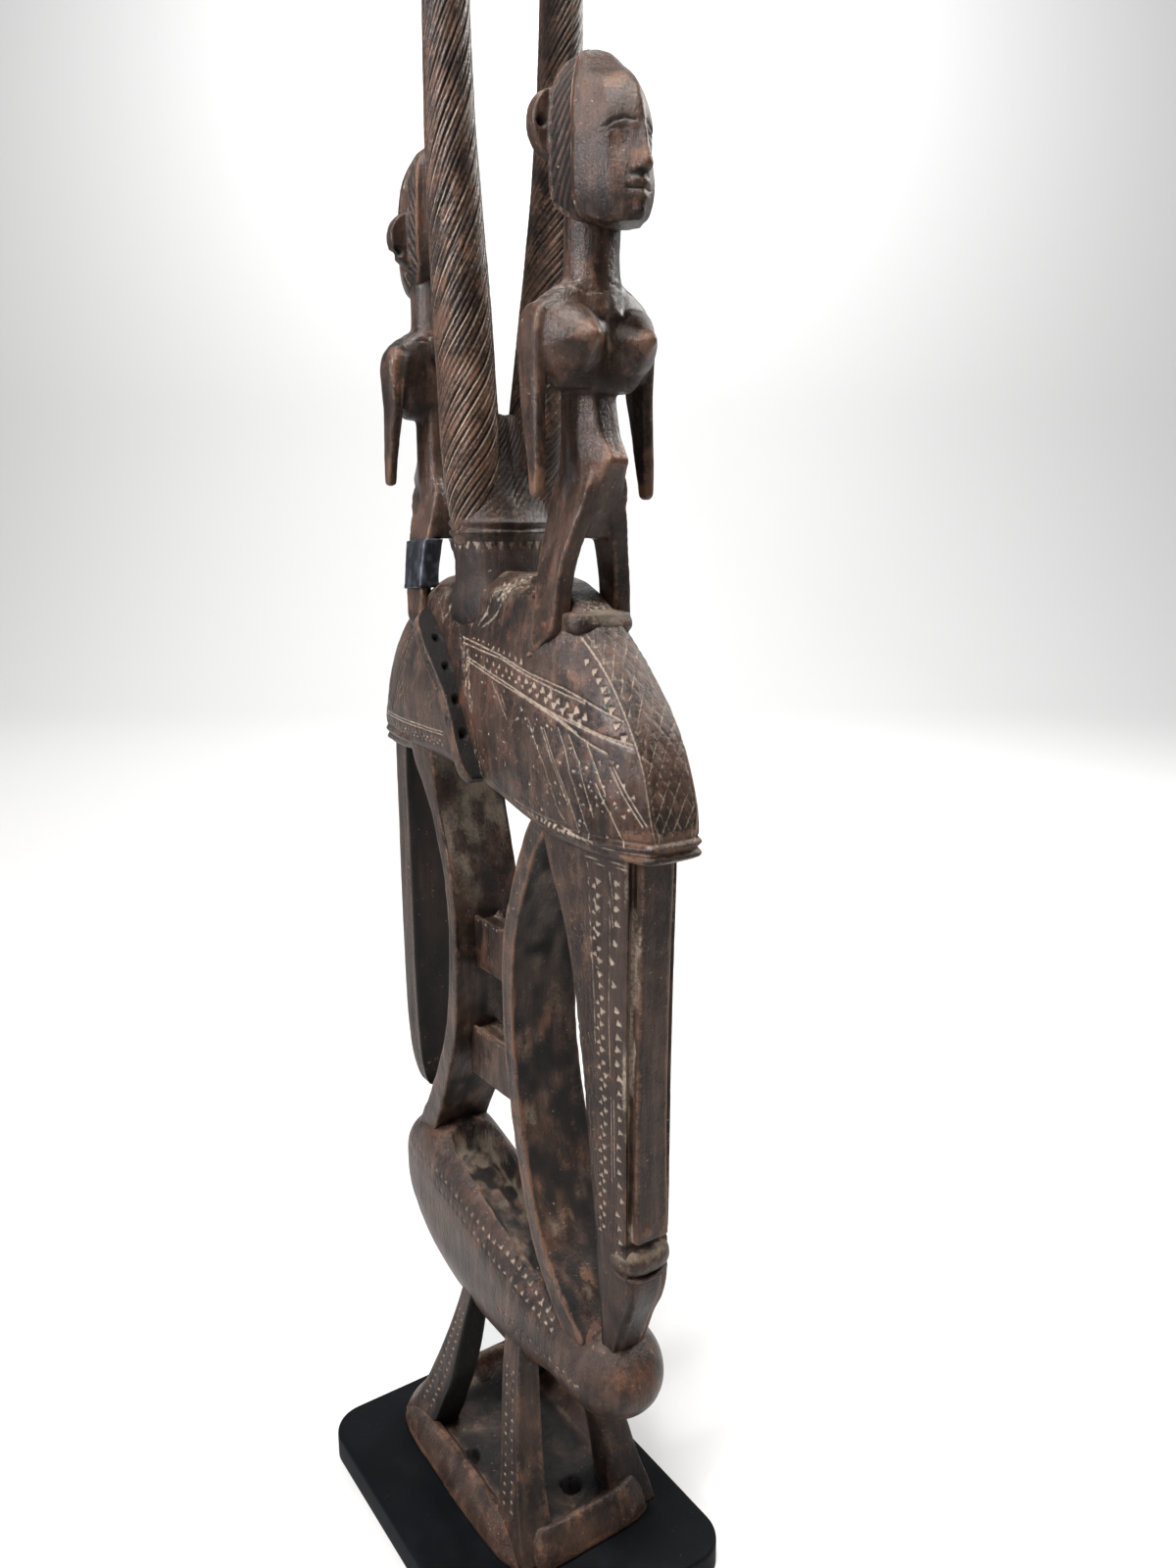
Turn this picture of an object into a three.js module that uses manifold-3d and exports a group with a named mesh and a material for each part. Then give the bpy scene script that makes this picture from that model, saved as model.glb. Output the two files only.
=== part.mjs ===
// Carved antelope headdress with two heads, two horns and two small figures, on its display slab.
// Millimetres, +Z up, +X towards the long muzzle. The origin is the middle of the slab's underside.
import * as THREE from 'three';
import { mergeVertices } from 'three/addons/utils/BufferGeometryUtils.js';
import Module from 'manifold-3d';

const wasm = await Module();
wasm.setup();

// Display stand
const standLength = 179;
const standWidth = 126;
const standThick = 14;
const standCorner = 17;
const standEdge = 1.6;
const carvingBehind = 9.5; // the carving stands this far behind the middle of the stand
const carvingAside = 9; // and this far to its far side

// The carving: its free forms are drawn in shares of its height
const carvingHeight = 898; // underside of the foot plate to the horn tips
const unit = carvingHeight / 898;

// Foot plate, its tray and its tie holes
const plateLength = 133;
const plateWidth = 84;
const plateThick = 17;
const plateSlant = 6.5; // how far the rim stands in from the foot
const rimWall = 3.5;
const trayFloor = 8;
const tieHole = 6.5;

// Ladder between the heads and the body
const rungWidth = 14;
const rungHeight = 26;

// Horns
const fluteCount = 10;
const fluteDepth = 0.09; // share of the horn's radius
const hornRings = 25;

// Holes of the big ears and of the figures' ears
const earHole = 4.4;
const earHoleCount = 4;
const lobeHole = 3.6;

// Metal band round one leg of the rear figure
const bandHeight = 20.5;
const bandWall = 1.2;
const bandGap = 0.3;
const bandUnderTorso = 0.5;

// A row of numbers between the given rows, on a smooth curve through them
function spline(a, b, c, d, f) {
  const rise = c - a;
  const bend = 2 * a - 5 * b + 4 * c - d;
  const twist = 3 * b - a - 3 * c + d;
  return b + 0.5 * f * (rise + f * (bend + f * twist));
}

function rowAt(rows, share) {
  const place = share * (rows.length - 1);
  const k = Math.min(Math.floor(place), rows.length - 2);
  const near = (i) => rows[Math.max(0, Math.min(rows.length - 1, i))];
  return rows[k].map((value, j) => spline(near(k - 1)[j], value, near(k + 1)[j], near(k + 2)[j], place - k));
}

function resample(rows, count) {
  return Array.from({ length: count }, (_, i) => rowAt(rows, i / (count - 1)));
}

// Rings of points
const point = (x, y, z) => new THREE.Vector3(x, y, z);
const drawn = (x, y, z) => point(x * unit, y * unit, z * unit);
const alongX = point(1, 0, 0);
const alongY = point(0, 1, 0);
const alongZ = point(0, 0, 1);

// A rounded ring round a middle point: power 2 is an ellipse, a higher power is squarer
function oval(middle, a, b, halfA, halfB, power = 2, count = 12) {
  return Array.from({ length: count }, (_, i) => {
    const angle = ((i + 0.5) * 2 * Math.PI) / count;
    const bulge = (v) => Math.sign(v) * Math.abs(v) ** (2 / power);
    return middle
      .clone()
      .addScaledVector(a, bulge(Math.cos(angle)) * halfA)
      .addScaledVector(b, bulge(Math.sin(angle)) * halfB);
  });
}

// A level rectangle with round corners
function roundedLevel(halfLength, halfWidth, corner, z, steps = 4) {
  const centres = [[1, 1], [-1, 1], [-1, -1], [1, -1]];
  return centres.flatMap(([sx, sy], quarter) =>
    Array.from({ length: steps + 1 }, (_, i) => {
      const angle = (quarter + i / steps) * (Math.PI / 2);
      const x = sx * (halfLength - corner) + corner * Math.cos(angle);
      const y = sy * (halfWidth - corner) + corner * Math.sin(angle);
      return point(x, y, z);
    }),
  );
}

// Solids
function manifoldOf(geometry) {
  const bare = geometry.clone();
  bare.deleteAttribute('normal');
  bare.deleteAttribute('uv');
  const merged = mergeVertices(bare, 1e-4);
  const vertProperties = new Float32Array(merged.attributes.position.array);
  const triVerts = new Uint32Array(merged.index.array);
  return new wasm.Manifold(new wasm.Mesh({ numProp: 3, vertProperties, triVerts }));
}

function signedVolume(points, faces) {
  const corner = (i) => points[i];
  const wedge = ([a, b, c]) => corner(a).dot(corner(b).clone().cross(corner(c))) / 6;
  return faces.reduce((sum, face) => sum + wedge(face), 0);
}

// A skin over rings with as many points each, closed at both ends by fans
function loft(rings) {
  const size = rings[0].length;
  const points = rings.flat();
  const faces = [];
  for (let r = 0; r + 1 < rings.length; r += 1) {
    for (let i = 0; i < size; i += 1) {
      const a = r * size + i;
      const b = r * size + ((i + 1) % size);
      faces.push([a, b, b + size], [a, b + size, a + size]);
    }
  }
  const middleOf = (ring) => ring.reduce((sum, p) => sum.add(p), point(0, 0, 0)).divideScalar(size);
  const start = points.push(middleOf(rings[0])) - 1;
  const end = points.push(middleOf(rings.at(-1))) - 1;
  const last = (rings.length - 1) * size;
  for (let i = 0; i < size; i += 1) {
    const next = (i + 1) % size;
    faces.push([start, next, i], [end, last + i, last + next]);
  }
  const turned = signedVolume(points, faces) < 0 ? faces.map(([a, b, c]) => [a, c, b]) : faces;
  const geometry = new THREE.BufferGeometry().setFromPoints(points);
  geometry.setIndex(turned.flat());
  return manifoldOf(geometry);
}

const joined = (solids) => solids.reduce((sum, solid) => sum.add(solid));
const mirroredY = (solid) => solid.mirror([0, 1, 0]);
const bothSides = (solid) => solid.add(mirroredY(solid));

// Rows of x, lowest z, highest z, half width and squareness become a beam along X
function beamAlongX(rows, count, sides) {
  return loft(resample(rows, count).map(([x, low, high, half, power]) => {
    const middle = drawn(x, 0, (low + high) / 2);
    return oval(middle, alongY, alongZ, half * unit, ((high - low) / 2) * unit, power, sides);
  }));
}

// Rows of z, x, y, half depth and half width become an upright post
function post(rows, power = 3, sides = 8) {
  return loft(rows.map(([z, x, y, halfX, halfY]) =>
    oval(drawn(x, y, z), alongX, alongY, halfX * unit, halfY * unit, power, sides)));
}

// Rows of x, z, thickness and half width become a bowed plank across Y
function plank(rows, count) {
  const stations = resample(rows, count);
  return loft(stations.map(([x, z, thick, half], i) => {
    const before = stations[Math.max(0, i - 1)];
    const after = stations[Math.min(count - 1, i + 1)];
    const along = point(after[0] - before[0], 0, after[1] - before[1]).normalize();
    const across = along.clone().cross(alongY);
    return oval(drawn(x, 0, z), across, alongY, (thick / 2) * unit, half * unit, 9, 8);
  }));
}

// Foot plate: a slanted block with bulging sides, a tray in its top and tie holes through the floor
function footPlate() {
  const ring = (z, inset) =>
    oval(point(0, 0, z), alongX, alongY, plateLength / 2 - inset, plateWidth / 2 - inset, 5, 20);
  const top = plateThick + 1;
  const trayInset = plateSlant + rimWall;
  const block = loft([ring(0, 0), ring(0.4 * plateThick, 0.2 * plateSlant), ring(plateThick, plateSlant)]);
  const tray = loft([ring(trayFloor, trayInset + 0.6 * (plateThick - trayFloor)), ring(top, trayInset)]);
  const places = [[-0.93, 0.24], [-0.11, -0.84], [0.65, 0.18]];
  const holes = places.map(([along, aside]) => {
    const x = along * (plateLength / 2 - trayInset);
    const y = aside * (plateWidth / 2 - trayInset);
    return loft([-1, top].map((z) => oval(point(x, y, z), alongX, alongY, tieHole / 2, tieHole / 2, 2, 10)));
  });
  return { block, cuts: joined([tray, ...holes]), holes: joined(holes) };
}

// Four legs from the corners of the plate up into the body: z, x, y, half depth, half width
const frontLeg = [
  [5, 50, 27, 12.5, 9],
  [17, 46, 26.3, 10.3, 8.3],
  [30, 42.2, 24.6, 8.6, 7.6],
  [60, 34, 20, 7.4, 6.2],
  [92, 28.5, 16.5, 7.5, 4.5],
];
const rearLeg = [
  [5, -47, 27, 12.5, 9],
  [17, -39, 26.3, 11.5, 8.3],
  [30, -33, 24.6, 10.2, 7.6],
  [45, -27, 22.3, 10, 6.8],
  [68, -22, 17.6, 6.3, 7],
  [92, -16, 15, 4.8, 5.5],
];

// Log-like body with a round end in front and a trough along its top
const bodyRows = [
  [-90, 130, 143, 7, 2.4],
  [-87, 117, 153, 16, 2.8],
  [-78, 106, 160, 20, 3.4],
  [-60, 94, 164, 21.5, 3.6],
  [-35, 84, 158, 22, 3.4],
  [-5, 79, 147, 22, 3],
  [28, 80, 136, 22, 2.8],
  [52, 86, 130, 21.5, 2.4],
  [70, 85, 128, 21.5, 2.1],
  [85, 86, 126.5, 20.8, 2],
  [95, 91, 121, 15.2, 2],
  [101, 97.5, 114, 8.6, 2],
  [103.5, 103, 109, 3, 2],
];
const troughRows = [
  [-50, 160, 178, 8],
  [-38, 146, 180, 12],
  [0, 131, 164, 13],
  [34, 123, 150, 12],
  [52, 123, 140, 8],
];

function body() {
  const trough = loft(resample(troughRows, 6).map(([x, low, high, half]) =>
    oval(drawn(x, 0, high), alongY, alongZ, half * unit, (high - low) * unit, 2.6, 10)));
  return { log: beamAlongX(bodyRows, 17, 12), trough };
}

// Two bowed struts and the rungs between them
const rearStrutRows = [
  [-50, 374, 36, 20],
  [-48, 356, 20, 19.5],
  [-41, 335, 8.5, 18.5],
  [-33.5, 314, 7, 18],
  [-28, 294, 7, 18],
  [-26.5, 272, 7, 18],
  [-27.5, 250, 8, 18],
  [-33, 224, 9.5, 17],
  [-39.5, 206, 10.5, 17],
  [-51, 184, 12, 16],
  [-66, 158, 15, 15.5],
  [-72, 146, 18, 15],
];
const frontStrutRows = [
  [61, 352, 12, 17],
  [46, 340, 11, 17],
  [37, 323, 10.5, 17],
  [29.5, 305, 10, 17],
  [24, 288, 9.5, 17],
  [21.8, 268, 9, 17],
  [22.3, 243, 8.6, 17],
  [25.3, 221, 8.4, 17],
  [30, 200, 8.4, 17.5],
  [39.5, 171, 8.6, 18],
  [49, 151, 10, 18.5],
  [60, 136, 12, 18],
  [73, 118, 14, 16],
];
const rungLevels = [270.5, 213.5];

function ladder() {
  const rungs = rungLevels.map((z) => {
    const reach = 28 * unit;
    const geometry = new THREE.BoxGeometry(2 * reach, rungWidth, rungHeight);
    geometry.translate(-3 * unit, 0, z * unit);
    return manifoldOf(geometry);
  });
  return [plank(rearStrutRows, 12), plank(frontStrutRows, 12), ...rungs];
}

// The head mass that both muzzles hang from: x, lowest and highest z, half widths low, middle and top
const headRows = [
  [-106, 358, 368, 6, 7, 5],
  [-103.5, 356, 382, 10, 11.5, 8.5],
  [-95, 356, 402, 14, 15.5, 10.5],
  [-80, 356, 418, 17.5, 18.5, 12],
  [-62, 357, 431, 19.5, 21, 13],
  [-40, 358, 440, 21, 22.5, 14.5],
  [-10, 356, 443, 22, 24, 15.5],
  [20, 350, 443, 22.3, 24.5, 16],
  [45, 344, 441, 22.5, 24.5, 15.5],
  [62, 341.5, 434, 22, 23.5, 13.5],
  [76, 340.5, 424, 21, 22.3, 11.5],
  [90, 340, 411, 19.5, 20.3, 11],
  [103, 340, 393.5, 16.5, 17, 11],
  [111, 340, 378, 14, 14, 11],
  [115.5, 340.5, 362, 12.5, 12.5, 11.5],
  [117, 342, 350, 11.8, 11.8, 11.5],
];

function headMass() {
  return loft(resample(headRows, 15).map(([x, low, high, base, flank, crown]) => {
    const rise = high - low;
    const side = [
      [0, low],
      [0.8 * base, low],
      [base, low + 0.07 * rise],
      [flank, low + 0.38 * rise],
      [0.45 * flank + 0.55 * crown, low + 0.76 * rise],
      [crown, low + 0.93 * rise],
      [0.5 * crown, high],
      [0, high],
    ];
    const near = side.map(([y, z]) => drawn(x, y, z));
    const far = side.slice(1, -1).reverse().map(([y, z]) => drawn(x, -y, z));
    return [...near, ...far];
  }));
}

// A raised double band follows the lower rim of each dome: x and half width along the rim
const frontRim = [[56, 22], [76, 21], [92, 19], [104, 16.4], [112, 14], [117, 10.5]];
const rearRim = [[56, 19], [78, 17.5], [92, 14.8], [101, 11], [105.5, 7]];

function rimBand(rim, side, low) {
  const grow = [-1, 1.5, 0.2, 1.5, -1];
  const start = rim[0][0];
  return loft(grow.map((out, i) => {
    const outline = rim.map(([x, y]) => [x + (out * (x - start)) / (rim.at(-1)[0] - start), y + out]);
    const level = low + 1.8 * i;
    const near = outline.map(([x, y]) => drawn(side * x, y, level));
    const far = [...outline].reverse().map(([x, y]) => drawn(side * x, -y, level));
    return [...near, ...far];
  }));
}

// A muzzle hangs as a wedge with a nose bar: z, inner x, inner half width, face x, nose x, half widths
const frontMuzzleRows = [
  [350, 52, 18, 104, 11.5, 107.6, 7.2],
  [333, 56, 17.3, 104, 11.5, 107.4, 7.2],
  [308, 66.5, 16.5, 103.5, 11.4, 106.2, 7.2],
  [284, 72.5, 16, 103, 11.3, 105.5, 7.2],
  [248, 78, 15.2, 102.5, 11.2, 105.2, 7.2],
  [207, 82.5, 14.4, 102.5, 11, 105.3, 7.4],
  [182, 84, 13.8, 102.5, 11, 106.5, 8],
  [178.5, 84.3, 13.6, 102.3, 11, 103.5, 7],
  [160, 85.5, 13, 102.3, 10.5, 103.8, 6.5],
  [149, 86, 12.3, 100, 10, 101.5, 6],
  [138, 86, 11.5, 95.5, 9, 97, 5.5],
  [122, 84, 9, 89, 8, 90, 5],
];
const rearMuzzleRows = [
  [368, 78, 13, 99, 9, 104, 5.4],
  [340, 81, 12.5, 100, 9, 105, 5.4],
  [300, 80.5, 12, 100, 9, 104.8, 5.6],
  [247, 79.5, 12, 98.8, 9.4, 103.2, 6.2],
  [214, 79, 11.5, 96.5, 9.8, 101, 6.8],
  [190, 78.5, 10.5, 93.5, 9.2, 97.6, 6.5],
  [179, 78.5, 9, 90.5, 8, 94.5, 6],
  [172, 80, 5.5, 87, 5, 89, 4],
];

function muzzle(rows, side) {
  return loft(rows.map(([z, innerX, innerY, faceX, faceY, noseX, noseY]) => {
    const grooveX = Math.min(faceX - 2.5, noseX - 1);
    const outline = [[innerX, innerY], [faceX, faceY], [grooveX, noseY + 0.8], [noseX, noseY]];
    const near = outline.map(([x, y]) => drawn(side * x, y, z));
    const far = [...outline].reverse().map(([x, y]) => drawn(side * x, -y, z));
    return [...near, ...far];
  }));
}

function lips() {
  const middle = drawn(97, 0, 168);
  const levels = [-4.6, -2.6, 0, 2.6, 4.6];
  const reach = [4.4, 9.4, 7.4, 9.4, 4.4];
  return loft(levels.map((dz, i) => {
    const level = middle.clone().add(drawn(0, 0, dz));
    return oval(level, alongX, alongY, reach[i] * unit, (reach[i] + 1.4) * unit, 2, 10);
  }));
}

// Big leaf-shaped ears stand out from the flanks: x, z, root and reach down their root line
const earRows = [
  [-46, 425, 14, 5],
  [-36, 421, 16, 11],
  [-24, 412, 17.5, 14],
  [-12, 400, 20, 12],
  [-3, 386, 21.5, 9],
  [3, 371, 22, 8],
  [9, 360, 22, 7.5],
  [12, 354, 21, 5],
];
const earThick = 5.5;
const earBed = 7; // how deep the ear is rooted in the flank

function bigEar() {
  const slope = point(-0.85, 0, -0.53).normalize();
  const rings = resample(earRows, 7).map(([x, z, root, reach]) => {
    const half = (earBed + reach) / 2;
    const middle = drawn(x, root - earBed + half, z);
    return oval(middle, slope, alongY, (earThick / 2) * unit, half * unit, 7, 8);
  });
  const holes = Array.from({ length: earHoleCount }, (_, i) => {
    const [x, z, root, reach] = rowAt(earRows, 0.24 + (0.54 * i) / (earHoleCount - 1));
    const face = drawn(x, root + 0.45 * reach, z).addScaledVector(slope, -0.5 * earThick * unit);
    const ring = (depth, radius) => oval(face.clone().addScaledVector(slope, depth * unit), alongY,
      slope.clone().cross(alongY), radius, radius, 2, 6);
    return loft([ring(-1, 0.6 * earHole), ring(0.6 * earThick, 0.2 * earHole)]);
  });
  return { plate: loft(rings), holes: joined(holes) };
}

// Collar on the crown of the head, with a raised double ring under the horns
const collarRows = [
  [428, -6, 0, 23, 21.5],
  [442, -6, 0, 17.4, 19.8],
  [457, -6, 0, 18, 20.5],
  [459, -6, 0, 19.6, 22],
  [461, -6, 0, 18.4, 21],
  [463, -6, 0, 19.6, 22],
  [466, -6, 0, 17.8, 21.2],
  [480, -4.5, 0, 13, 20],
  [498, -3.5, 0, 9, 12],
  [507, -3, 0, 6, 6],
];

// Horns: z, x, y and radius up the middle of each
const hornRows = [
  [458, -6, 10.5, 10.5],
  [480, -3.5, 13.8, 12.2],
  [500, -2, 16, 12.5],
  [520, -0.5, 17.8, 12.2],
  [537, 1.2, 19.3, 12.1],
  [570, 2.9, 22, 11.3],
  [602, 3.4, 24.3, 10.4],
  [654, 4.8, 25.6, 9.2],
  [710, 5, 26.3, 8.3],
  [768, 2, 27.4, 7.2],
  [820, -4, 28.9, 6],
  [862, -11, 30.4, 4.7],
  [888, -16.4, 31.6, 3.2],
  [898, -18.8, 32.1, 1.6],
];

function horn(side) {
  const stations = resample(hornRows, hornRings);
  let turn = 0;
  return loft(stations.map(([z, x, y, radius], i) => {
    const before = stations[Math.max(0, i - 1)];
    const after = stations[Math.min(hornRings - 1, i + 1)];
    const slopeX = (after[1] - before[1]) / (after[0] - before[0]);
    const slopeY = (side * (after[2] - before[2])) / (after[0] - before[0]);
    turn += ((z - before[0]) * 2 * Math.PI) / (15 * Math.min(radius, 12));
    return Array.from({ length: 2 * fluteCount }, (_, k) => {
      const angle = turn + (k * Math.PI) / fluteCount;
      const out = radius * (k % 2 ? 1 - fluteDepth : 1);
      const dx = out * Math.cos(angle);
      const dy = out * Math.sin(angle);
      return drawn(x + dx, side * y + dy, Math.min(z - slopeX * dx - slopeY * dy, hornRows.at(-1)[0]));
    });
  }));
}

// One small standing figure, drawn facing +X with z from the soles of its feet.
// Legs: z, back, front, inner side and outer side
const figureLeg = [
  [2, -13, 2, 10.5, 19],
  [15, -12.8, 3.4, 9.7, 17.4],
  [29, -12, 5.9, 7.3, 15],
  [36, -12.3, 7.9, 5.6, 13.1],
  [44, -12.8, 10.3, 2, 11],
  [53, -12.5, 13, 1, 9],
];
// Torso: z, then depth and half width at its back, its sides and its front
const figureTorso = [
  [33, -12, 8, -5, 11, 4, 7],
  [44, -12, 8, -4, 10.8, 10, 7.5],
  [55, -10.5, 8, -2, 10.6, 15.5, 5.8],
  [61, -9.5, 8, 0, 10.8, 19, 4.5],
  [71, -8.5, 8, 1.5, 10.8, 13.5, 4.5],
  [85, -8, 8, 2, 10.8, 10, 5],
  [100, -8, 8, 2, 11.5, 10, 5.5],
];
// Chest, neck and arms: z, x, y, half depth, half width
const figureChest = [
  [86, 3, 0, 8, 15],
  [92, 2, 0, 10.5, 21],
  [104, 2, 0, 10.5, 24],
  [112, 1.5, 0, 9.5, 24.2],
  [118, 1.5, 0, 8.5, 19.5],
  [123, 1.5, 0, 8, 10.5],
];
const figureNeck = [
  [112, 1.5, 0, 12, 12],
  [122, 1.5, 0, 10.8, 11],
  [134, 1.5, 0, 10.3, 10.5],
  [150, 3, 0, 10.5, 10.5],
];
const figureArm = [
  [114, -0.5, 21, 6.5, 4.5],
  [102, -1, 23.6, 7.2, 4],
  [84, -1.3, 24.1, 6.2, 3],
  [70, 0.3, 24.5, 4.8, 2.7],
  [57, 1.8, 24.8, 3.3, 2.5],
  [47, 2.3, 25, 2.3, 2.1],
];
// Head: z, then depth and half width at its back, temples, hairline and cheeks, and the depth of its front
const figureHead = [
  [140, 15, 3, 17, 6, 22, 7, 26, 5, 30.5],
  [143.5, 4, 5, 5, 9.5, 14, 12, 25.5, 8, 32],
  [150, -8, 5, -4, 12.5, 13, 14.2, 26, 9.8, 33],
  [158, -11, 5, -5, 14, 13, 14.8, 25.5, 10, 33],
  [170, -12, 5, -5.5, 14.2, 13, 14.6, 25, 10, 32.5],
  [178, -11.5, 5, -5.5, 13.8, 12, 14, 23, 9.3, 30.5],
  [185, -10.5, 4.5, -5.5, 13, 11, 12.8, 19.5, 8, 26.5],
  [190.5, -9, 4, -5, 11.4, 9, 10.6, 14, 6, 19],
  [196, -6.5, 3, -3.5, 8, 6, 7.4, 9.5, 4, 12.5],
  [199.2, -3, 1.5, -1, 3.5, 3, 3.5, 4.5, 2, 6],
];
const hairRidge = 1.1;

const mirroredRing = (half) => [...half, ...half.slice().reverse().map((p) => point(p.x, -p.y, p.z))];

function figureLegPost() {
  return loft(figureLeg.map(([z, back, front, inner, outer]) => {
    const chamfer = 4.5;
    const outline = [
      [back, outer],
      [front, outer],
      [front, inner],
      [back + chamfer, inner],
      [back, inner + chamfer],
    ];
    return outline.map(([x, y]) => drawn(x, y, z));
  }));
}

function breast() {
  const rows = [[2, 102, 12, 15.5], [10, 102, 10.4, 12], [17.5, 103, 5.6, 6.5], [23.6, 103.5, 1.2, 1.2]];
  return loft(rows.map(([x, z, halfY, halfZ]) =>
    oval(drawn(x, 12.2, z), alongY, alongZ, halfY * unit, halfZ * unit, 2, 8)));
}

// Head with a raised hairline from ear to ear, brow, nose and mouth; depth scales its length
function head(depth, shift) {
  const place = (x, y, z) => drawn(x * depth + shift, y, z);
  const skull = loft(figureHead.map((row) => {
    const [z, back, backY, temple, templeY, hair, hairY, cheek, cheekY, front] = row;
    const half = [
      place(back, backY, z),
      place(temple, templeY, z),
      place(hair - 2.5, hairY, z),
      place(hair - 0.5, hairY + hairRidge, z),
      place(hair + 2, hairY - 0.5, z),
      place(cheek, cheekY, z),
      place(front, 0.8, z),
    ];
    return mirroredRing(half);
  }));
  const ring = (x, y, z, halfX, halfY, power = 2) =>
    oval(place(x, y, z), alongX, alongY, halfX * unit, halfY * unit, power, 8);
  const nose = loft([
    ring(30.5, 0, 172, 3, 1.6),
    ring(32, 0, 163, 3.4, 2.4),
    ring(33, 0, 156.5, 4, 3.8),
    ring(31.5, 0, 154, 3, 3),
  ]);
  const lipRows = [[152, 2.4], [150.6, 3.4], [149.2, 2.4], [147.8, 3.4], [146.4, 2.4]];
  const mouth = loft(lipRows.map(([z, half]) => ring(30.5, 0, z, half, half + 1)));
  const hollow = loft([
    ring(34, 9, 156, 4, 5, 3),
    ring(32.5, 8.5, 163, 6, 6.4, 3),
    ring(33, 8.5, 170, 8, 7.2, 3),
  ]);
  return skull.subtract(bothSides(hollow)).add(nose.add(mouth));
}

// Half-round pierced ear standing out sideways from the head
function lobe({ earX, earZ, earReach, earHoleZ }) {
  const y = 11;
  const disc = loft([-2.8, 2.8].map((dx) =>
    oval(drawn(earX + dx, y, earZ), alongY, alongZ, earReach * unit, 11.5 * unit, 2, 10)));
  const hole = loft([-4, 4].map((dx) =>
    oval(drawn(earX + dx, y + earReach - 3.2, earHoleZ), alongY, alongZ, lobeHole / 2, lobeHole / 2, 2, 6)));
  return { disc, hole };
}

function figure(shape) {
  const { x, z, facing, breadth, armShare, headDepth, headShift } = shape;
  const shoulder = figureArm[0][0];
  const arm = figureArm.map(([level, middle, aside, deep, half]) =>
    [shoulder - (shoulder - level) * armShare, middle, aside * breadth, deep, half]);
  const ear = lobe(shape);
  const torso = loft(figureTorso.map(([level, back, backY, side, sideY, front, frontY]) =>
    mirroredRing([drawn(back, backY, level), drawn(side, sideY, level), drawn(front, frontY, level)])));
  const solids = [
    torso,
    post(figureChest, 2.6, 10),
    post(figureNeck, 2, 8),
    head(headDepth, headShift),
    bothSides(figureLegPost()),
    bothSides(post(arm, 4, 8)),
    bothSides(breast()),
    bothSides(ear.disc),
  ];
  const whole = joined(solids).subtract(bothSides(ear.hole));
  const turned = facing > 0 ? whole : whole.mirror([1, 0, 0]);
  return turned.translate([x * unit, 0, z * unit]);
}

// Ledge under the front figure's feet, notched in front
function footBlock(x, z) {
  return post([
    [z - 8, x - 4, 0, 16, 14],
    [z - 2, x - 4, 0, 16.5, 14],
    [z + 1, x - 3, 0, 16.5, 14.5],
    [z + 6, x - 4, 0, 15.5, 14],
  ], 5, 12);
}

const frontFigure = {
  x: 62,
  z: 424,
  facing: 1,
  breadth: 1,
  armShare: 0.985,
  headDepth: 1,
  headShift: 0,
  earX: -8,
  earZ: 178,
  earReach: 9,
  earHoleZ: 176.5,
};
const rearFigure = {
  x: -60,
  z: 424,
  facing: -1,
  breadth: 0.96,
  armShare: 0.86,
  headDepth: 0.85,
  headShift: -7,
  earX: 0,
  earZ: 161,
  earReach: 11,
  earHoleZ: 155,
};

// Metal band round the near leg of the rear figure: a closed sleeve that clears the wood and ends
// just under the torso
function repairBand() {
  const row = (level) => {
    const k = figureLeg.findIndex(([z]) => z >= level);
    const share = (level - figureLeg[k - 1][0]) / (figureLeg[k][0] - figureLeg[k - 1][0]);
    return figureLeg[k].map((value, j) => THREE.MathUtils.lerp(figureLeg[k - 1][j], value, share));
  };
  const high = figureTorso[0][0] - bandUnderTorso / unit;
  const low = high - bandHeight / unit;
  const between = figureLeg.map(([z]) => z).filter((z) => z > low && z < high);
  const levels = [low, ...between, high];
  const sleeve = (grow, reach) => loft(levels.map((level, i) => {
    const [, back, front, inner, outer] = row(level);
    const z = (rearFigure.z + level) * unit + reach * Math.sign(i - 0.5 * (levels.length - 1));
    const middle = point((rearFigure.x - (back + front) / 2) * unit, (-(inner + outer) / 2) * unit, z);
    const halfX = ((front - back) / 2) * unit + grow;
    const halfY = ((outer - inner) / 2) * unit + grow;
    const corners = [[-1, -1], [1, -1], [1, 1], [-1, 1]];
    return corners.map(([sx, sy]) => middle.clone().add(point(sx * halfX, sy * halfY, 0)));
  }));
  return sleeve(bandGap + bandWall, 0).subtract(sleeve(bandGap, 1));
}

function carving() {
  const plate = footPlate();
  const log = body();
  const ear = bigEar();
  const plateTop = plate.block.subtract(plate.cuts);
  const legSolids = [frontLeg, rearLeg].map((rows) => bothSides(post(rows, 5, 8)));
  const lower = joined([plateTop, ...legSolids, log.log.subtract(log.trough)]).subtract(plate.holes);
  const upper = joined([
    ...ladder(),
    headMass(),
    rimBand(frontRim, 1, 340),
    rimBand(rearRim, -1, 357),
    muzzle(frontMuzzleRows, 1),
    muzzle(rearMuzzleRows, -1),
    lips(),
    bothSides(ear.plate).subtract(bothSides(ear.holes)),
    post(collarRows, 2.2, 14),
    horn(1),
    horn(-1),
    footBlock(frontFigure.x, frontFigure.z),
    figure(frontFigure),
    figure(rearFigure),
  ]);
  return lower.add(upper);
}

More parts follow.
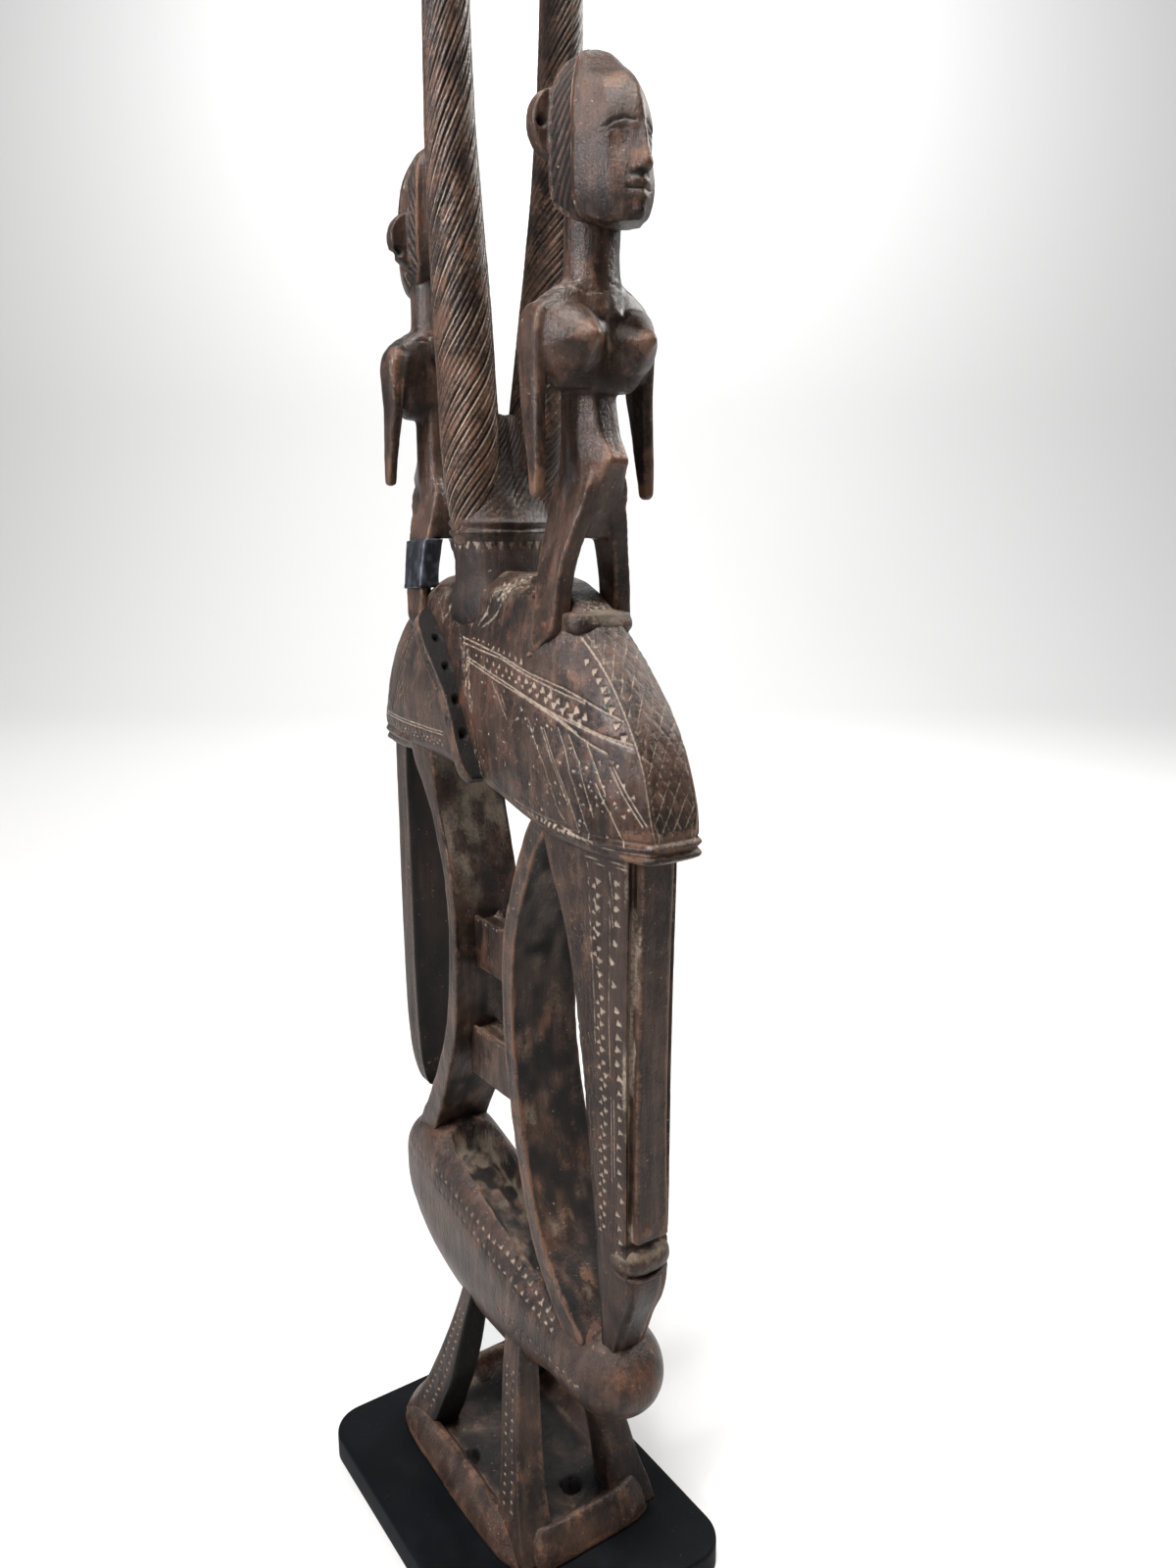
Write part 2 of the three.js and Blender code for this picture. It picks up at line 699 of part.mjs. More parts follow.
// Meshes
function meshOf(name, solid, material) {
  const { vertProperties, triVerts } = solid.getMesh();
  const geometry = new THREE.BufferGeometry();
  geometry.setAttribute('position', new THREE.BufferAttribute(vertProperties, 3));
  geometry.setIndex(new THREE.BufferAttribute(triVerts, 1));
  geometry.computeVertexNormals();
  const mesh = new THREE.Mesh(geometry, material);
  mesh.name = name;
  return mesh;
}

function stand() {
  const halfLength = standLength / 2;
  const halfWidth = standWidth / 2;
  return loft([
    roundedLevel(halfLength, halfWidth, standCorner, 0, 5),
    roundedLevel(halfLength, halfWidth, standCorner, standThick - standEdge, 5),
    roundedLevel(halfLength - standEdge, halfWidth - standEdge, standCorner - standEdge, standThick, 5),
  ]);
}

const darkWood = new THREE.MeshStandardMaterial({ color: 0x3a2a22, roughness: 0.5, metalness: 0 });
const blackPaint = new THREE.MeshStandardMaterial({ color: 0x131415, roughness: 0.6, metalness: 0 });
const darkMetal = new THREE.MeshStandardMaterial({ color: 0x22252b, roughness: 0.35, metalness: 0.7 });

const upright = new THREE.Group();
upright.position.set(-carvingBehind, carvingAside, standThick);
upright.add(meshOf('carving', carving(), darkWood));
upright.add(meshOf('repair_band', repairBand(), darkMetal));

const headdress = new THREE.Group();
headdress.add(meshOf('display_stand', stand(), blackPaint));
headdress.add(upright);

export default headdress;
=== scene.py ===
# Carved antelope headdress with two horns and two standing figures, on its black slab
import math
import bpy
import numpy as np
from mathutils import Matrix


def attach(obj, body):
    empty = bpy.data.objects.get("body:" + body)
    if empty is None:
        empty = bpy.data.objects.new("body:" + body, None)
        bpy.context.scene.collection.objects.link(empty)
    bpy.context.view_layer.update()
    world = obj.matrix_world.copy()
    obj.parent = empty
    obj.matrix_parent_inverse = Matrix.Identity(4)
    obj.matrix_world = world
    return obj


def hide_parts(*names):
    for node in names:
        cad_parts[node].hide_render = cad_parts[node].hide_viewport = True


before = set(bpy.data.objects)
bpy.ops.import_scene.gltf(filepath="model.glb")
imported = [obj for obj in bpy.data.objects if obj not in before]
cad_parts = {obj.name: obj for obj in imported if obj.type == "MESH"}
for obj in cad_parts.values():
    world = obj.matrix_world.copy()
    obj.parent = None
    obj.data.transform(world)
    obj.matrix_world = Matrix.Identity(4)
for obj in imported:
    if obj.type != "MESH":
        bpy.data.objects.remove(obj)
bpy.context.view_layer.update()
print("frame loaded:", ", ".join(sorted(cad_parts)))

# Lengths are in millimetres here and become metres in the meshes.
# The carving is drawn from the middle of its own foot, and stands off centre on the slab.
carvingPlace = np.array([-9.5, 9.0, 14.0])


# Values held between 0 and 1
def unit(value):
    return np.clip(value, 0, 1)


# A smooth rise from 0 at low to 1 at high: 3tt - 2ttt of the share between them
def ramp(value, low, high):
    t = unit((value - low) / (high - low))
    return t * t * (3 - 2 * t)


# The opposite: 1 up to low and 0 from high on
def fall(value, low, high):
    return 1 - ramp(value, low, high)


# A soft bump: 1 where the value is 0, dying away as exp(-(value / width)^2)
def bell(value, width):
    return np.exp(-(value / width) ** 2)


# Columns of numbers side by side, as points
def stack(*columns):
    return np.stack(np.broadcast_arrays(*[np.asarray(c, float) for c in columns]), axis=-1)


# The way gone before each point of a path, from the lengths of its steps
def wayAlong(*differences):
    return np.concatenate([[0], np.cumsum(np.linalg.norm(differences, axis=0))])


# A smooth curve through the rows of a table: share runs from 0 at its first row to 1 at its last,
# and each value follows the cubic that keeps the slope of its two neighbours
def curveThrough(rows, share):
    rows = np.asarray(rows, float)
    last = len(rows) - 1
    place = unit(share) * last
    k = np.minimum(place.astype(int), last - 1)
    f = (place - k)[:, None]
    a, b, c, d = (rows[np.clip(k + i, 0, last)] for i in (-1, 0, 1, 2))
    return b + 0.5 * f * (c - a + f * (2 * a - 5 * b + 4 * c - d + f * (3 * b - a - 3 * c + d)))


# The same curve cut into even steps, measured over the named columns
def evenRows(rows, count, keys):
    fine = curveThrough(rows, np.linspace(0, 1, 60 * len(rows)))
    way = wayAlong(*np.diff(fine[:, keys], axis=0).T)
    share = np.interp(np.linspace(0, way[-1], count), way, np.linspace(0, 1, len(fine)))
    return curveThrough(rows, share)


# Rings from corner points: each side is cut into its own number of steps and the corners are
# eased by averaging every point with its neighbours
def cornerRings(corners, steps, ease):
    after = np.roll(corners, -1, axis=1)
    parts = []
    for side, n in enumerate(steps):
        t = (np.arange(n) / n)[None, :, None]
        parts.append(corners[:, side:side + 1] * (1 - t) + after[:, side:side + 1] * t)
    ring = np.concatenate(parts, axis=1)
    for _ in range(ease):
        ring = 0.5 * ring + 0.25 * (np.roll(ring, 1, 1) + np.roll(ring, -1, 1))
    return ring


# The four corners of a box section: its middle, less or plus half of each side
def boxCorners(middle, thick, wide):
    return np.stack([middle + a * thick + b * wide for a, b in ((-1, -1), (1, -1), (1, 1), (-1, 1))], axis=1)


# Rounded rings: |a|^power + |b|^power is constant round each; points lie evenly along the mean ring
def ovalRings(middle, acrossA, acrossB, halfA, halfB, power, count):
    power = np.broadcast_to(np.asarray(power, float), halfA.shape)
    bulge = lambda v, p: np.sign(v) * np.abs(v) ** (2 / p)
    fine = np.linspace(0, 2 * math.pi, 8001)
    meanA, meanB = bulge(np.cos(fine), power.mean()) * halfA.mean(), bulge(np.sin(fine), power.mean()) * halfB.mean()
    way = wayAlong(np.diff(meanA), np.diff(meanB))
    angle = np.interp(np.arange(count) / count * way[-1], way, fine)
    a = (bulge(np.cos(angle)[None], power[:, None]) * halfA[:, None])[..., None]
    b = (bulge(np.sin(angle)[None], power[:, None]) * halfB[:, None])[..., None]
    return middle[:, None] + a * np.array(acrossA) + b * np.array(acrossB)


# Outward normals of a closed grid: the cross product of its two directions
def gridNormals(points):
    alongU = np.gradient(points, axis=0)
    alongV = np.roll(points, -1, 1) - np.roll(points, 1, 1)
    normal = np.cross(alongU, alongV)
    normal /= np.linalg.norm(normal, axis=2, keepdims=True) + 1e-9
    middle = points.mean(axis=1, keepdims=True)
    return normal if np.sum(normal * (points - middle)) > 0 else -normal


# Every point moved inwards along its normal by its own depth
def carve(points, depth):
    return points - gridNormals(points) * depth[..., None]


# A grid averaged with its neighbours, round and along, again and again
def blurGrid(field, rounds):
    for _ in range(rounds):
        field = 0.5 * field + 0.25 * (np.roll(field, 1, 1) + np.roll(field, -1, 1))
        padded = np.concatenate([field[:1], field, field[-1:]])
        field = 0.5 * field + 0.25 * (padded[:-2] + padded[2:])
    return field


# Smooth random heights from -1 to 1: random numbers on a lattice, blended between its corners
def lumps(points, size, seed):
    p = points / np.asarray(size, float) + 1000 + 7.3 * seed
    base = np.floor(p).astype(np.int64)
    f = p - base
    f = f * f * (3 - 2 * f)
    total = np.zeros(points.shape[:-1])
    for dx, dy, dz in np.ndindex(2, 2, 2):
        n = (base[..., 0] + dx) * 374761393 + (base[..., 1] + dy) * 668265263
        n = n + (base[..., 2] + dz) * 2147483647 + seed * 97531
        n = (n ^ (n >> 13)) * 1274126177 & 0xFFFFFFFF
        value = ((n ^ (n >> 16)) & 0xFFFF) / 32767.5 - 1
        total += value * np.abs((1 - dx - f[..., 0]) * (1 - dy - f[..., 1]) * (1 - dz - f[..., 2]))
    return total


# Carved marks are functions of two coordinates, 1 at the middle of a cut and 0 beside it. Each mark
# is worked out only near its own ends, and the deepest one stays where marks cross
def drawMarks(a, b, marks, depthOf):
    found = np.zeros(a.shape)
    for ends, margin, values in marks:
        (lowA, lowB), (highA, highB) = np.min(ends, axis=0) - margin, np.max(ends, axis=0) + margin
        near = (a > lowA) & (a < highA) & (b > lowB) & (b < highB)
        if near.any():
            found[near] = np.maximum(found[near], unit(depthOf(a[near], b[near], *values)))
    return found


# Lines: the distance to each path's nearest segment, against the half width of the cut
def strokes(a, b, paths, width):
    def depthOf(a, b, a0, b0, da, db):
        a, b = a - a0, b - b0
        t = unit((a * da + b * db) / (da * da + db * db + 1e-9))
        return 1 - np.hypot(a - t * da, b - t * db) / width

    pairs = [(p, q) for path in paths for p, q in zip(path, path[1:])]
    return drawMarks(a, b, [((p, q), width, (*p, q[0] - p[0], q[1] - p[1])) for p, q in pairs], depthOf)


# Triangular chisel marks: each has its place, size and the direction its point looks in, in degrees
def triangles(a, b, marks):
    def depthOf(a, b, a0, b0, size, turn):
        a, b, c, s = a - a0, b - b0, math.cos(math.radians(turn)), math.sin(math.radians(turn))
        along, across = (a * c + b * s) / size, (b * c - a * s) / size
        return 7 * np.minimum((0.55 - along) * 0.5 - np.abs(across), along + 0.45)

    return drawMarks(a, b, [((mark[:2], mark[:2]), mark[2], mark) for mark in marks], depthOf)


# Round dots: the distance to each place against half the dot's size
def dots(a, b, places, size):
    def depthOf(a, b, a0, b0):
        return 1.6 - np.hypot(a - a0, b - b0) / (size / 2)

    return drawMarks(a, b, [((place, place), size, place) for place in places], depthOf)


# Marks in a row along a path, gap apart, growing from one size to another
def markRow(path, gap, sizes, turn, seed, loose=0.12):
    pick = np.random.default_rng(seed)
    path = np.asarray(path, float)
    way = wayAlong(*np.diff(path, axis=0).T)
    at = np.arange(gap / 2, way[-1], gap)
    places = zip(np.interp(at, way, path[:, 0]), np.interp(at, way, path[:, 1]), np.linspace(*sizes, len(at)))
    return [(a + pick.normal(0, loose), b + pick.normal(0, loose) * 1.6, size * pick.uniform(0.85, 1.15),
             turn + pick.normal(0, 9)) for a, b, size in places]


# Parallel cuts: 1 on each whole number of a phase, gap apart, with a half width in the same unit
def comb(phase, gap, width):
    return unit(1 - np.abs(phase - np.round(phase)) * gap / width)


# Loose scratches round a path, each a short stroke that keeps roughly to its direction
def scratches(path, spread, count, lengths, seed):
    pick = np.random.default_rng(seed)
    path = np.asarray(path, float)
    way = wayAlong(*np.diff(path, axis=0).T)
    found = []
    for _ in range(count):
        s = pick.uniform(0, way[-1])
        k = min(np.searchsorted(way, s, side="right"), len(path) - 1)
        direction = math.atan2(*(path[k] - path[k - 1])[::-1]) + pick.normal(0, 0.16)
        a = np.interp(s, way, path[:, 0]) + pick.uniform(-spread, spread)
        b = np.interp(s, way, path[:, 1]) + pick.uniform(-spread, spread)
        half = pick.uniform(*lengths) / 2
        da, db = half * math.cos(direction), half * math.sin(direction)
        found.append([(a - da, b - db), (a + pick.normal(0, 0.3), b + pick.normal(0, 0.3)), (a + da, b + db)])
    return found


# What a surface carries for its material: pale cuts, dust, worn edges, dark wood and gloss. The cut and wear masks also
# carry painted highlights, the dust mask a painted sheen and the dark mask painted shade
maskNames = ("cut", "dust", "wear", "dark", "gloss")


# One surface: a grid of closed rings with its masks. Worn edges and dusty hollows come from how far
# each point stands out of, or lies under, the averaged surface
def surface(points, edgeSize, **masks):
    out = {name: np.broadcast_to(masks.get(name, 0.0), points.shape[:2]).astype(float) for name in maskNames}
    stand = np.sum((points - blurGrid(points, 10)) * gridNormals(points), axis=2)
    out["wear"] = unit(out["wear"] + 0.6 * ramp(stand, 0.35 * edgeSize, 1.3 * edgeSize))
    out["dust"] = unit(out["dust"] + 0.7 * ramp(-stand, 0.4 * edgeSize, 1.6 * edgeSize))
    return points, out


# An object that shows this data, in the scene
def addObject(name, data):
    thing = bpy.data.objects.new(name, data)
    bpy.context.scene.collection.objects.link(thing)
    return thing


# Each grid becomes quads from ring to ring and a fan over each end ring, turned so that its volume is
# positive and its faces point outwards
def meshPiece(name, surfaces, place=carvingPlace):
    verts, quads, tris, masks, start = [], [], [], {m: [] for m in maskNames}, 0
    for points, fields in surfaces:
        rings, around = points.shape[:2]
        index = np.arange(rings * around).reshape(rings, around) + start
        turned = np.roll(index, -1, axis=1)
        quad = np.stack([index[:-1], turned[:-1], turned[1:], index[1:]], axis=-1).reshape(-1, 4)
        first = np.full(around, start + rings * around)
        tri = np.concatenate([stack(first, turned[0], index[0]), stack(first + 1, index[-1], turned[-1])]).astype(int)
        p = np.concatenate([points.reshape(-1, 3), points[0].mean(0)[None], points[-1].mean(0)[None]])
        a, b, c, d = (p[quad[:, i] - start] for i in range(4))
        if np.sum(a * np.cross(b, c)) + np.sum(a * np.cross(c, d)) < 0:
            quad, tri = quad[:, ::-1], tri[:, ::-1]
        verts.append(p)
        quads.append(quad)
        tris.append(tri)
        for m, f in fields.items():
            masks[m].append(np.concatenate([f.ravel(), [f[0].mean(), f[-1].mean()]]))
        start += len(p)
    quads, tris = np.concatenate(quads), np.concatenate(tris)
    loops = np.concatenate([quads.ravel(), tris.ravel()])
    sizes = np.concatenate([np.full(len(quads), 4), np.full(len(tris), 3)])
    mesh = bpy.data.meshes.new(name)
    mesh.vertices.add(start)
    mesh.loops.add(len(loops))
    mesh.loops.foreach_set("vertex_index", loops.astype(np.int32))
    mesh.polygons.add(len(sizes))
    mesh.polygons.foreach_set("loop_start", (np.cumsum(sizes) - sizes).astype(np.int32))
    fillMesh(mesh, np.concatenate(verts) + place, {m: np.concatenate(f) for m, f in masks.items() if f})
    print(name, "has", 2 * len(quads) + len(tris), "triangles")
    return addObject(name, mesh)


# Places in metres, smooth faces and masks
def fillMesh(mesh, points, masks):
    mesh.vertices.foreach_set("co", (points / 1000).astype(np.float32).ravel())
    mesh.polygons.foreach_set("use_smooth", np.ones(len(mesh.polygons), bool))
    mesh.update(calc_edges=True)
    for name, values in masks.items():
        mesh.attributes.new(name, "FLOAT", "POINT").data.foreach_set("value", np.asarray(values, np.float32))


# Foot plate, legs and body
footPlate = {
    "length": 133, "width": 84, "thick": 17, "floor": 8, "squareness": 5, "roughness": 0.8,
    "tieHole": 9, "holes": [(-52.6, 7.7), (-6.2, -26.9), (36.7, 5.8)], "steps": 76, "around": 270,
}


# The plate is one profile carried round a squared oval: under the foot, up the slanted side,
# over the rim and down into the tray, then sunk where the tie holes are
def makeFootPlate(v):
    halfX, halfY, top, floor = v["length"] / 2, v["width"] / 2, v["thick"], v["floor"]
    under = [[2, 1, 0], [40, 24, 0], [62, 38, 0]]
    rim = [(1, 0), (0.2, 0.6), (0, 2.4), (1.2, 7), (3.6, 12.5), (6, top - 0.8), (7, top), (8.6, top - 0.2),
           (10, top - 1.6), (12.4, floor + 3)]  # how far in, and the level
    tray = [[halfX - 16, halfY - 15, floor + 0.4], [halfX - 22, halfY - 20, floor], [30, 16, floor],
            [14, 7, floor - 0.2], [1, 1, floor - 0.2]]
    side = evenRows([[halfX - inset, halfY - inset, z] for inset, z in rim] + tray, v["steps"], [0, 1, 2])
    a, b, z = np.concatenate([under, side]).T
    points = ovalRings(stack(0, 0, z), [1, 0, 0], [0, 1, 0], a, b, v["squareness"], v["around"])
    ringNo = np.arange(len(z))[:, None] + np.zeros(points.shape[:2])
    inTray = ramp(ringNo, 29, 38)
    lowEdge = fall(points[..., 2], 0.8, 4) * ramp(ringNo, 3, 4)
    depth = 0.5 * lumps(points, 22, 3) + inTray * v["roughness"] * (lumps(points, 6, 4) + 0.5 * lumps(points, 2.2, 5))
    depth = depth + (1 - inTray) * 0.18 * lumps(points, [9, 9, 3], 8)
    points = carve(points, np.where(ringNo > 3, depth, 0))
    dark = 0
    # painted shade: each tie hole is a sunk dish painted dark, standing in for the shade inside the hole
    for holeX, holeY in v["holes"]:
        away = np.hypot(points[..., 0] - holeX, points[..., 1] - holeY) + 0.5 * lumps(points, 3, 6)
        sink = fall(away, v["tieHole"] / 2 - 0.7, v["tieHole"] / 2 + 0.7) * inTray
        points[..., 2] = points[..., 2] * (1 - sink) + 0.6 * sink
        dark = np.maximum(dark, sink)
    return surface(points, 0.3, dust=inTray * unit(0.15 + 0.7 * lumps(points, 9, 9)),
                   dark=unit(dark + inTray * ramp(lumps(points, 12, 10), -0.8, 0.1) * 0.9),
                   wear=0.4 * lowEdge * ramp(lumps(points, 8, 7), -0.4, 0.5))


# Legs: z, x, y, half depth and half width at each level
legTables = {
    "front": [[4, 50, 27.5, 13, 9.4], [12, 47.5, 27, 11.6, 9.2], [20, 45, 26, 9.9, 8.5],
              [30, 42.2, 24.8, 8.6, 7.8], [45, 38.5, 22.7, 7.9, 7], [60, 34, 20, 7.4, 6.6],
              [78, 30.8, 18, 7.4, 5.8], [96, 28, 16, 7.5, 4.5]],
    "rear": [[4, -47, 27.5, 13, 9.4], [12, -42, 27, 12, 9.2], [20, -37.4, 26, 11.2, 8.5],
             [30, -33, 24.8, 10.2, 7.8], [45, -27, 22.5, 9.6, 7.2], [60, -23.6, 19.4, 7.6, 7.2],
             [75, -20.5, 17, 6, 6.6], [96, -15, 15, 4.8, 5.5]],
}


# A leg is a six-cornered section carried up its line, with two rows of dots on its outer face
def makeLeg(rows, side, front):
    z, x, y, deep, wide = evenRows(rows, 70, [0, 1, 2]).T
    y, out, edge = side * y, side * wide, 1.4 * ramp(z, 14, 40)
    section = [(-deep, out), (deep - 1.5, out), (deep, out + side * edge * 0.6), (deep + edge * 0.6, out - side * 1.6),
               (deep, -out), (-deep, -out)]
    points = cornerRings(np.stack([stack(x + a, y + b, z) for a, b in section], axis=1), [18, 3, 3, 10, 10, 10], 2)
    px, py, pz = np.moveaxis(points, 2, 0)
    rel = (px - x[:, None]) / deep[:, None]
    outer = ramp(side * (py - y[:, None]) / wide[:, None], 0.6, 0.9)
    marks = dots(rel * 6, pz, [(a, b) for a in (-2.5, 1.8) for b in np.arange(22, 84, 4.2)], 1.5) * outer
    # painted shade: each rear leg is painted darker on its side that faces the front legs, above its foot
    inner = 0 if front else ramp(rel, 0.5, 0.9)
    points = carve(points, 0.35 * marks + 0.3 * lumps(points, [7, 7, 18], 11))
    return surface(points, 0.25, cut=0.8 * marks, dark=0.35 + 0.5 * inner * ramp(pz, 8, 16))


# The log's rows: x, underside, top, half width and squareness; the trough's: x, floor and half width
bodyLog = {
    "rings": 216, "around": 214, "markDeep": 0.45,
    "rows": [[-90.5, 131, 141, 4, 2.2], [-89, 124, 147, 11, 2.4], [-86, 116, 153.5, 16.5, 2.8],
             [-78, 106, 160, 20, 3.3], [-60, 94, 164, 21.7, 3.6], [-35, 84, 158, 22, 3.5],
             [-5, 79, 147, 22.2, 3.1], [28, 80, 136, 22.2, 2.8], [52, 86, 130, 21.7, 2.4],
             [70, 85, 128, 21.5, 2.1], [85, 86, 126.5, 20.6, 2], [95, 91, 121, 15.6, 2],
             [101, 97.5, 114, 8.8, 2], [103.3, 102, 109.5, 3.6, 2], [103.7, 105, 106.5, 0.8, 2]],
    "trough": [[-54, 158, 3], [-46, 149, 11.5], [-38, 144, 13], [0, 131, 13.5], [34, 122, 12.5], [48, 121, 9],
               [58, 126, 3]],
    "markRows": [  # path, gap, sizes, turn, seed and looseness
        ([(-82, 149), (-66, 148), (-48, 146), (-29, 142.5), (-9, 138), (4, 134.8), (20, 133), (35, 129),
          (60, 121.6)],
         5, (2.6, 4), 75, 31),
        ([(-80, 142.6), (-62, 141), (-41, 138), (-24, 135), (-4, 130.4), (15, 127), (33, 124), (47, 121),
          (64, 118)],
         4.8, (2.5, 3.9), 75, 32),
        ([(16, 105.2), (52, 105.6), (70, 107), (86, 106.6)], 5.3, (2.4, 3), 95, 33, 0.3),
        ([(20, 102.2), (48, 101.8), (62, 102.4), (84, 105)], 5.3, (2.4, 3), -85, 34, 0.3),
        ([(56, 88), (72, 89)], 5, (2, 2), 30, 35, 0.5)],
}


# The log is a run of squared ovals along X; its trough is a box profile pressed into the top
def makeBody(v):
    x, low, high, half, power = evenRows(v["rows"], v["rings"], [0, 2, 3]).T
    points = ovalRings(stack(x, 0, (low + high) / 2), [0, 1, 0], [0, 0, 1], half, (high - low) / 2, power, v["around"])
    px, py, pz = np.moveaxis(points, 2, 0).copy()
    troughX, floor, width = np.array(v["trough"], float).T
    floor, width = np.interp(px, troughX, floor), np.interp(px, troughX, width)
    rough = lumps(points, [7, 4, 7], 21)
    inside = fall(np.abs(py + 0.6 * rough), width - 3.4, width + 0.4) * ramp(pz, low[:, None] + 20, low[:, None] + 26)
    inside = inside * ramp(px, -55, -47) * fall(px, 50, 60)
    deep = np.maximum(pz - floor - 0.9 * rough - 0.7 * lumps(points, 2.6, 22), 0) * inside
    points = points - stack(0, 0, deep)
    marks = triangles(px, pz, [mark for row in v["markRows"] for mark in markRow(*row)])
    marks = marks * ramp(np.abs(py) / half[:, None], 0.55, 0.75)
    uneven = 0.35 * lumps(points, [26, 14, 14], 23) + 0.08 * lumps(points, 4, 24)
    points = carve(points, v["markDeep"] * marks + uneven)
    dusty = unit(ramp(deep, 0.4, 3) * (0.5 + 0.7 * lumps(points, 5, 25)))
    shoulder = ramp(px, -62, -40) * fall(px, -40, -26) * ramp(pz, 150, 156)
    return surface(points, 0.4, cut=0.72 * marks, dust=np.maximum(0.85 * dusty, 0.5 * shoulder),
                   dark=ramp(deep, 1, 4) * ramp(lumps(points, [8, 4, 6], 27), -0.2, 0.5) * 0.9,
                   wear=0.45 * ramp(px, 78, 98) * ramp(lumps(points, 14, 26), -0.3, 0.5))


# Struts and rungs: x, z, thickness and half width along each strut's line
strutTables = {
    "rear": [[-50, 376, 36, 20], [-48, 356, 20, 19.5], [-41, 335, 8.5, 18.5], [-33.5, 314, 7, 18],
             [-28, 294, 7, 18], [-26.5, 272, 7, 18], [-27.5, 250, 8, 18], [-33, 224, 9.5, 17],
             [-39.5, 206, 10.5, 17], [-51, 184, 12, 16], [-66, 158, 15, 15.5], [-73, 146, 18, 15]],
    "front": [[61, 352, 12, 17], [46, 340, 11, 17], [37, 323, 10.5, 17], [29.5, 305, 10, 17],
              [24, 288, 9.5, 17], [21.8, 268, 9, 17], [22.3, 243, 8.6, 17], [25.3, 221, 8.4, 17],
              [30, 200, 8.4, 17.5], [39.5, 171, 8.6, 18], [49, 151, 10, 18.5], [60, 136, 12, 18],
              [73, 118, 14, 16]],
}
rungs = {"levels": [270.5, 213.5], "half": 7, "height": 26, "from": -31, "to": 25}


# A strut is a rectangle carried along its bowed line; its near and far edges carry rows of dots
def makeStrut(rows, front):
    x, z, thick, half = evenRows(rows, 150, [0, 1]).T
    dx, dz = np.gradient(x), np.gradient(z)
    size = np.hypot(dx, dz)
    across = stack(-dz / size, 0, dx / size)
    middle = stack(x, 0, z)
    corners = boxCorners(middle, across * thick[:, None] / 2, stack(0, half, 0))
    points = cornerRings(corners, [12, 40, 12, 34], 2)
    px, py, pz = np.moveaxis(points, 2, 0)
    way = np.cumsum(size)[:, None] + 0 * px
    off = np.sum((points - middle[:, None]) * across[:, None], axis=2)
    aside = np.abs(py) / half[:, None]
    edge, face = ramp(aside, 0.93, 0.99), fall(aside, 0.9, 0.97)
    marks = dots(off, way, [(0, s) for s in np.arange(12, way.max() - 10, 4.6)], 1.4) * edge * (0.9 if front else 0.5)
    depth = 0.35 * marks + face * (0.72 * (1 - aside ** 2) + 0.5 * lumps(points, [9, 8, 14], 41 + front))
    points = carve(points, depth + 0.25 * lumps(points, [4, 4, 6], 43))
    patches = 0.5 * lumps(points, [10, 10, 16], 49) + 0.6 * lumps(points, [4.5, 4.5, 7], 50)
    stains = 0.5 * lumps(points, [14, 14, 24], 47 + front) + 0.5 * lumps(points, [5, 5, 7], 48 + front)
    # painted sheen: the rear strut's faces are painted paler towards their top, with more dust and less dark
    upper = face * ramp(pz, 286, 330) * (1 - front)
    return surface(points, 0.3, cut=0.7 * marks, wear=front * (0.3 * edge + 0.8 * face * ramp(patches, -0.1, 0.5)),
                   dust=face * unit(0.15 + 0.7 * lumps(points, [6, 6, 12], 45 + front) + 0.5 * upper),
                   dark=face * unit((0.5 if front else 0.1) - 0.5 * upper + stains))


# A rung is a bar along X with a shallow channel in its top and dots along its sides
def makeRung(level, v):
    x = np.linspace(v["from"], v["to"], 40)
    half, top = v["half"], v["height"] / 2
    profile = [(-half, -top), (half, -top), (half, top), (half - 1.6, top), (half - 3, top - 2.6),
               (3 - half, top - 2.6), (1.6 - half, top), (-half, top)]
    corners = np.stack([stack(x, y, level + z) for y, z in profile], axis=1)
    points = cornerRings(corners, [14, 26, 2, 3, 8, 3, 2, 26], 2)
    px, py, pz = np.moveaxis(points, 2, 0)
    marks = dots(px, pz, [(a, level + top - 2.2) for a in np.arange(-24, 22, 3.4)], 1.3) * ramp(np.abs(py), 6, 6.8)
    points = carve(points, 0.3 * marks + 0.3 * lumps(points, 9, 51))
    sunk = ramp(pz, level + top - 4, level + top - 1.5) * (np.abs(py) < 5.6)
    return surface(points, 0.3, cut=0.8 * marks, dust=0.45 * sunk,
                   dark=0.5 * sunk * ramp(-lumps(points, 6, 52), -0.2, 0.4))


